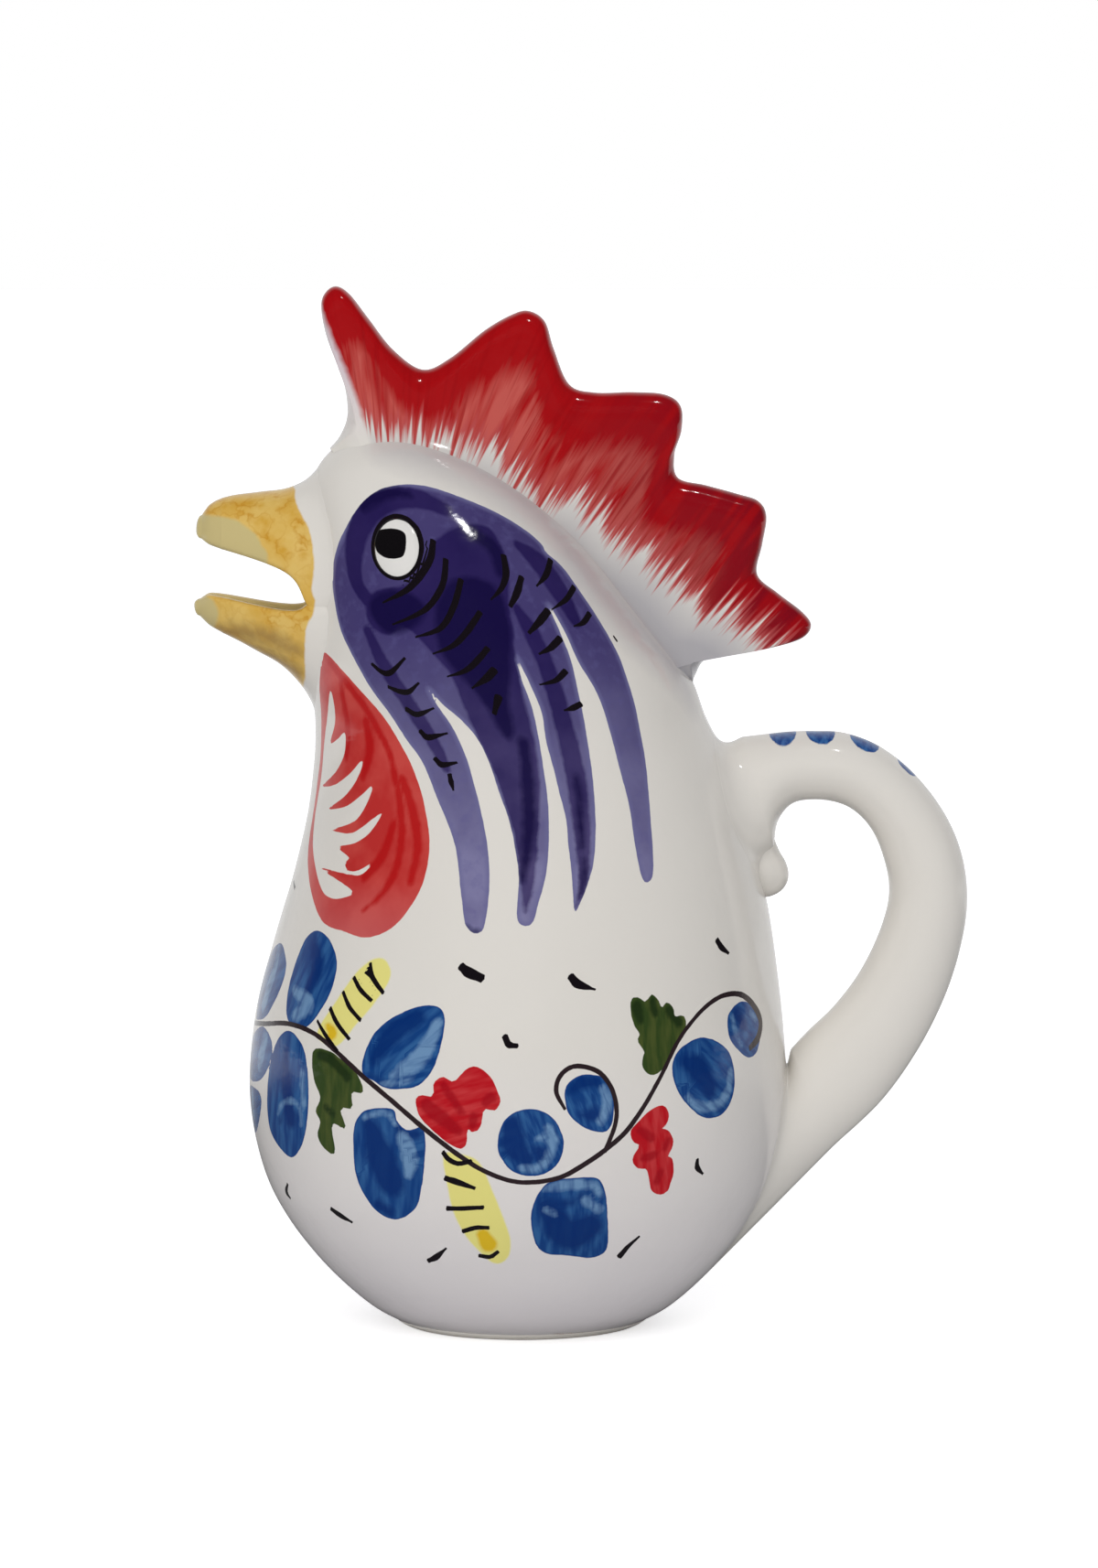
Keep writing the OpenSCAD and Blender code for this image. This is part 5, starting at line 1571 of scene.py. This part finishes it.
# the brush runs dry at the end of its pull, and the red thins to a rose
comb_red = comb.blend(rgb(196, 92, 92), comb_red, comb.ramp(ragged, .2, 7.0))
# painted shade: the comb's white root is greyed in the hollow, more towards the back
comb_root_shade = comb.math("MULTIPLY_ADD", to_back, .35, .55)
comb.lay(rgb(166, 164, 172), comb.times(comb.ramp(comb.field("sweep_r"), 5.0, -9.0), comb_root_shade))
comb.lay(comb_red, comb.ramp(ragged, -1.8, 2.4))
# the front edge is left bare white; higher up it takes a painted lilac reflection on its rounded edge
bare_front_and_sheen = comb.blend(WHITE, rgb(222, 208, 214), comb.ramp(comb_at["Z"], .212, .23))
comb.lay(bare_front_and_sheen, comb.edge("front_bare", .8, 1.4))
comb.finish("comb_skin")

# %% [markdown]
# ## Beak, eyes, handle and foot
#
# The beak has a cloudy ochre wash, deeper in the corner of the mouth and left off at the tip, with
# painted shade under the lower half and a painted lighter channel inside. The eyes, the strap and
# the foot need only a mark or two each, on the same white glaze.

# %% Beak: an ochre wash over cream, with painted shade under it and painted light in its channel
beak = Coat("beak_glaze", rgb(232, 196, 110))
blotch, small = beak.noise(150, 4.0), beak.noise(420, 4.0)
beak.lay(rgb(224, 180, 84), beak.times(beak.ramp(blotch, .4, .62), .8))
vein = beak.ramp(beak.math("ABSOLUTE", beak.math("SUBTRACT", beak.noise(210, 3.0), .5)), .045, 0.0)
wet = beak.times(beak.edge("ochre", 3.0, 2.6), beak.ramp(small, .3, .7))
beak.lay(rgb(214, 160, 52), beak.times(wet, .75))
vein_tone = beak.math("MULTIPLY_ADD", beak.edge("ochre", 3.0, 3.4), .55, .2)
beak.lay(rgb(204, 142, 34), beak.times(vein, vein_tone))
# painted shade under the lower beak
beak.lay(rgb(170, 136, 80), beak.times(beak.edge("brown", 3.0, 3.0), .75))
beak.lay(rgb(210, 194, 138), beak.times(beak.edge("cream", .8, .8), .95))
beak.lay(WHITE, beak.edge("bare", .7, .5))
# painted light: the channel inside each half is a lighter cream, lifting the shade that falls in it
beak.lay(rgb(250, 226, 160), beak.edge("inside", .2, 1.2))
beak.finish("upper_beak_skin", "lower_beak_skin")

# %% Eyes: a black pupil and rim on white
eye = Coat("eye_glaze", rgb(236, 234, 230), waves=.3)
for mark in ("pupil", "eye_rim"):
    eye.lay(rgb(14, 11, 14), eye.edge(mark, .25, .14))
eye.finish("left_eye_skin", "right_eye_skin")

# %% Handle and scroll: white, with blue dabs
strap_coat = Coat("handle_glaze", WHITE)
dab_tone = strap_coat.streaks("dab_u", "dab_v", 3.0, 6.0)
dab_blue = strap_coat.blend(rgb(18, 66, 136), rgb(58, 108, 168), strap_coat.ramp(dab_tone, .4, .65))
strap_coat.lay(dab_blue, strap_coat.edge("dab", .6, .2))
strap_coat.finish("handle_strap", "scroll_knob")

# %% Foot: bare clay, with glaze down to where it was wiped
clay = Coat("bare_clay", rgb(164, 108, 78), relief=.0004, rough=.85)
clay.lay(rgb(140, 88, 62), clay.ramp(clay.noise(300, 5.0), .4, .65))
wiped = clay.math("MULTIPLY_ADD", clay.noise(55, 2.0), .0014, -.0005)
clay.lay(WHITE, clay.ramp(clay.math("SUBTRACT", clay.place()["Z"], wiped), -.0001, .0001))
clay.finish("foot_ring")

# %% [markdown]
# ## Floor, light and camera
#
# The jug stands on a wide pale floor before a white background. Glaze mirrors whatever is around
# it, and a white room all around would veil the dark brushwork. So floor and room are white to the
# camera, but in reflections they are bright only behind the jug, where the rim of the glaze
# mirrors them. A broad soft light comes from the front, low and slightly from the left, as from a
# window. A weak one comes from behind, and one small lamp overhead gives the sparkles.

# %% Floor
FLOOR_HALF = 30.0
corners = [(-FLOOR_HALF, -FLOOR_HALF, 0), (FLOOR_HALF, -FLOOR_HALF, 0), (FLOOR_HALF, FLOOR_HALF, 0),
           (-FLOOR_HALF, FLOOR_HALF, 0)]
floor_mesh = bpy.data.meshes.new("floor")
floor_mesh.from_pydata(corners, [], [(0, 1, 2, 3)])
floor = bpy.data.objects.new("floor", floor_mesh)
bpy.context.scene.collection.objects.link(floor)

# %% The floor's paper
paper = bpy.data.materials.new("paper")
paper.use_nodes = True
tree = paper.node_tree
surface = tree.nodes["Principled BSDF"].inputs
surface["Roughness"].default_value = .9
surface["Specular IOR Level"].default_value = .1
surface["Emission Color"].default_value = (1, 1, 1, 1)
path = node(tree, "ShaderNodeLightPath").outputs
spot = node(tree, "ShaderNodeSeparateXYZ")
tree.links.new(object_place(tree), spot.inputs[0])
# in reflections it is dark near the jug and bright behind it
far_back = math_node(tree, "MULTIPLY_ADD", spot.outputs["Y"], 2.2, -.35, clamp=True)
glow = math_node(tree, "MULTIPLY", math_node(tree, "MULTIPLY", far_back, .7), path["Is Glossy Ray"])
feed(tree, surface["Emission Strength"], math_node(tree, "MULTIPLY_ADD", path["Is Camera Ray"], .58, glow))
feed(tree, surface["Base Color"], math_node(tree, "MULTIPLY_ADD", path["Is Glossy Ray"], -.75, .9))
floor_mesh.materials.append(paper)
print("the floor is", 2 * FLOOR_HALF, "metres wide")

# %% World: a fill light, the backdrop that the glaze mirrors, and white for the camera
world = bpy.data.worlds.new("studio")
bpy.context.scene.world = world
world.use_nodes = True
tree = world.node_tree
tree.nodes.clear()
path = node(tree, "ShaderNodeLightPath").outputs
fill, mirrored, white = (node(tree, "ShaderNodeBackground") for _ in range(3))
fill.inputs["Color"].default_value = (.95, .96, 1, 1)
fill.inputs["Strength"].default_value = .4
for plain in (mirrored, white):
    plain.inputs["Color"].default_value = (1, 1, 1, 1)
behind = node(tree, "ShaderNodeSeparateXYZ")
tree.links.new(node(tree, "ShaderNodeTexCoord").outputs["Generated"], behind.inputs[0])
backdrop = node(tree, "ShaderNodeMapRange")
for key, value in (("From Min", .3), ("From Max", .75), ("To Min", .045), ("To Max", .7)):
    backdrop.inputs[key].default_value = value
by_glossy, by_camera = node(tree, "ShaderNodeMixShader"), node(tree, "ShaderNodeMixShader")
out = node(tree, "ShaderNodeOutputWorld")
for a, b in ((behind.outputs["Y"], backdrop.inputs["Value"]),
             (backdrop.outputs["Result"], mirrored.inputs["Strength"]),
             (path["Is Glossy Ray"], by_glossy.inputs[0]), (fill.outputs[0], by_glossy.inputs[1]),
             (mirrored.outputs[0], by_glossy.inputs[2]), (path["Is Camera Ray"], by_camera.inputs[0]),
             (by_glossy.outputs[0], by_camera.inputs[1]), (white.outputs[0], by_camera.inputs[2]),
             (by_camera.outputs[0], out.inputs[0])):
    tree.links.new(a, b)
print("the world has", len(tree.nodes), "nodes")


# %% Lamps
def light(name, kind, way, colour, **settings):
    """A lamp that shines along a direction: tilted from straight down, then turned about the vertical."""
    data = bpy.data.lights.new(name, kind)
    data.color = colour
    for key, value in settings.items():
        setattr(data, key, value)
    made = bpy.data.objects.new(name, data)
    bpy.context.scene.collection.objects.link(made)
    made.rotation_euler = (math.atan2(math.hypot(way[0], way[1]), -way[2]), 0,
                           math.atan2(way[1], way[0]) - math.pi / 2)
    return made


# two far broad lights, whose own reflections are left out
for name, way, angle, strength, colour in (("window_light", (.24, 1.0, -.45), 45, 1.25, (1.0, .985, .955)),
                                           ("back_light", (-.5, -1.0, -.6), 60, .5, (1, 1, 1))):
    light(name, "SUN", way, colour, angle=math.radians(angle), energy=strength).visible_glossy = False

spark_place, spark_aim = np.array([.31, -.43, 1.4]), np.array([0, 0, .19])
spark = light("spark_lamp", "AREA", spark_aim - spark_place, (1, 1, 1), shape="RECTANGLE", size=.07,
              size_y=.1, energy=1.3)
spark.location = spark_place.tolist()
print("three lamps, the small one at", spark_place, "metres")

# %% Camera
SENSOR = 36.0
camera_data = bpy.data.cameras.new("camera")
camera_data.sensor_width = SENSOR
camera_data.lens = SENSOR * view_far / (FRAME_H * MM_PER_DOT)   # the picture's height fills the frame
camera = bpy.data.objects.new("camera", camera_data)
camera.location = (view_from * MM).tolist()
camera.rotation_euler = (math.pi / 2 - view_tilt, 0, 0)
bpy.context.scene.collection.objects.link(camera)
bpy.context.scene.camera = camera
bpy.context.scene.view_settings.view_transform = "Standard"
print("the lens is", round(camera_data.lens, 1), "mm on a 36 mm frame")
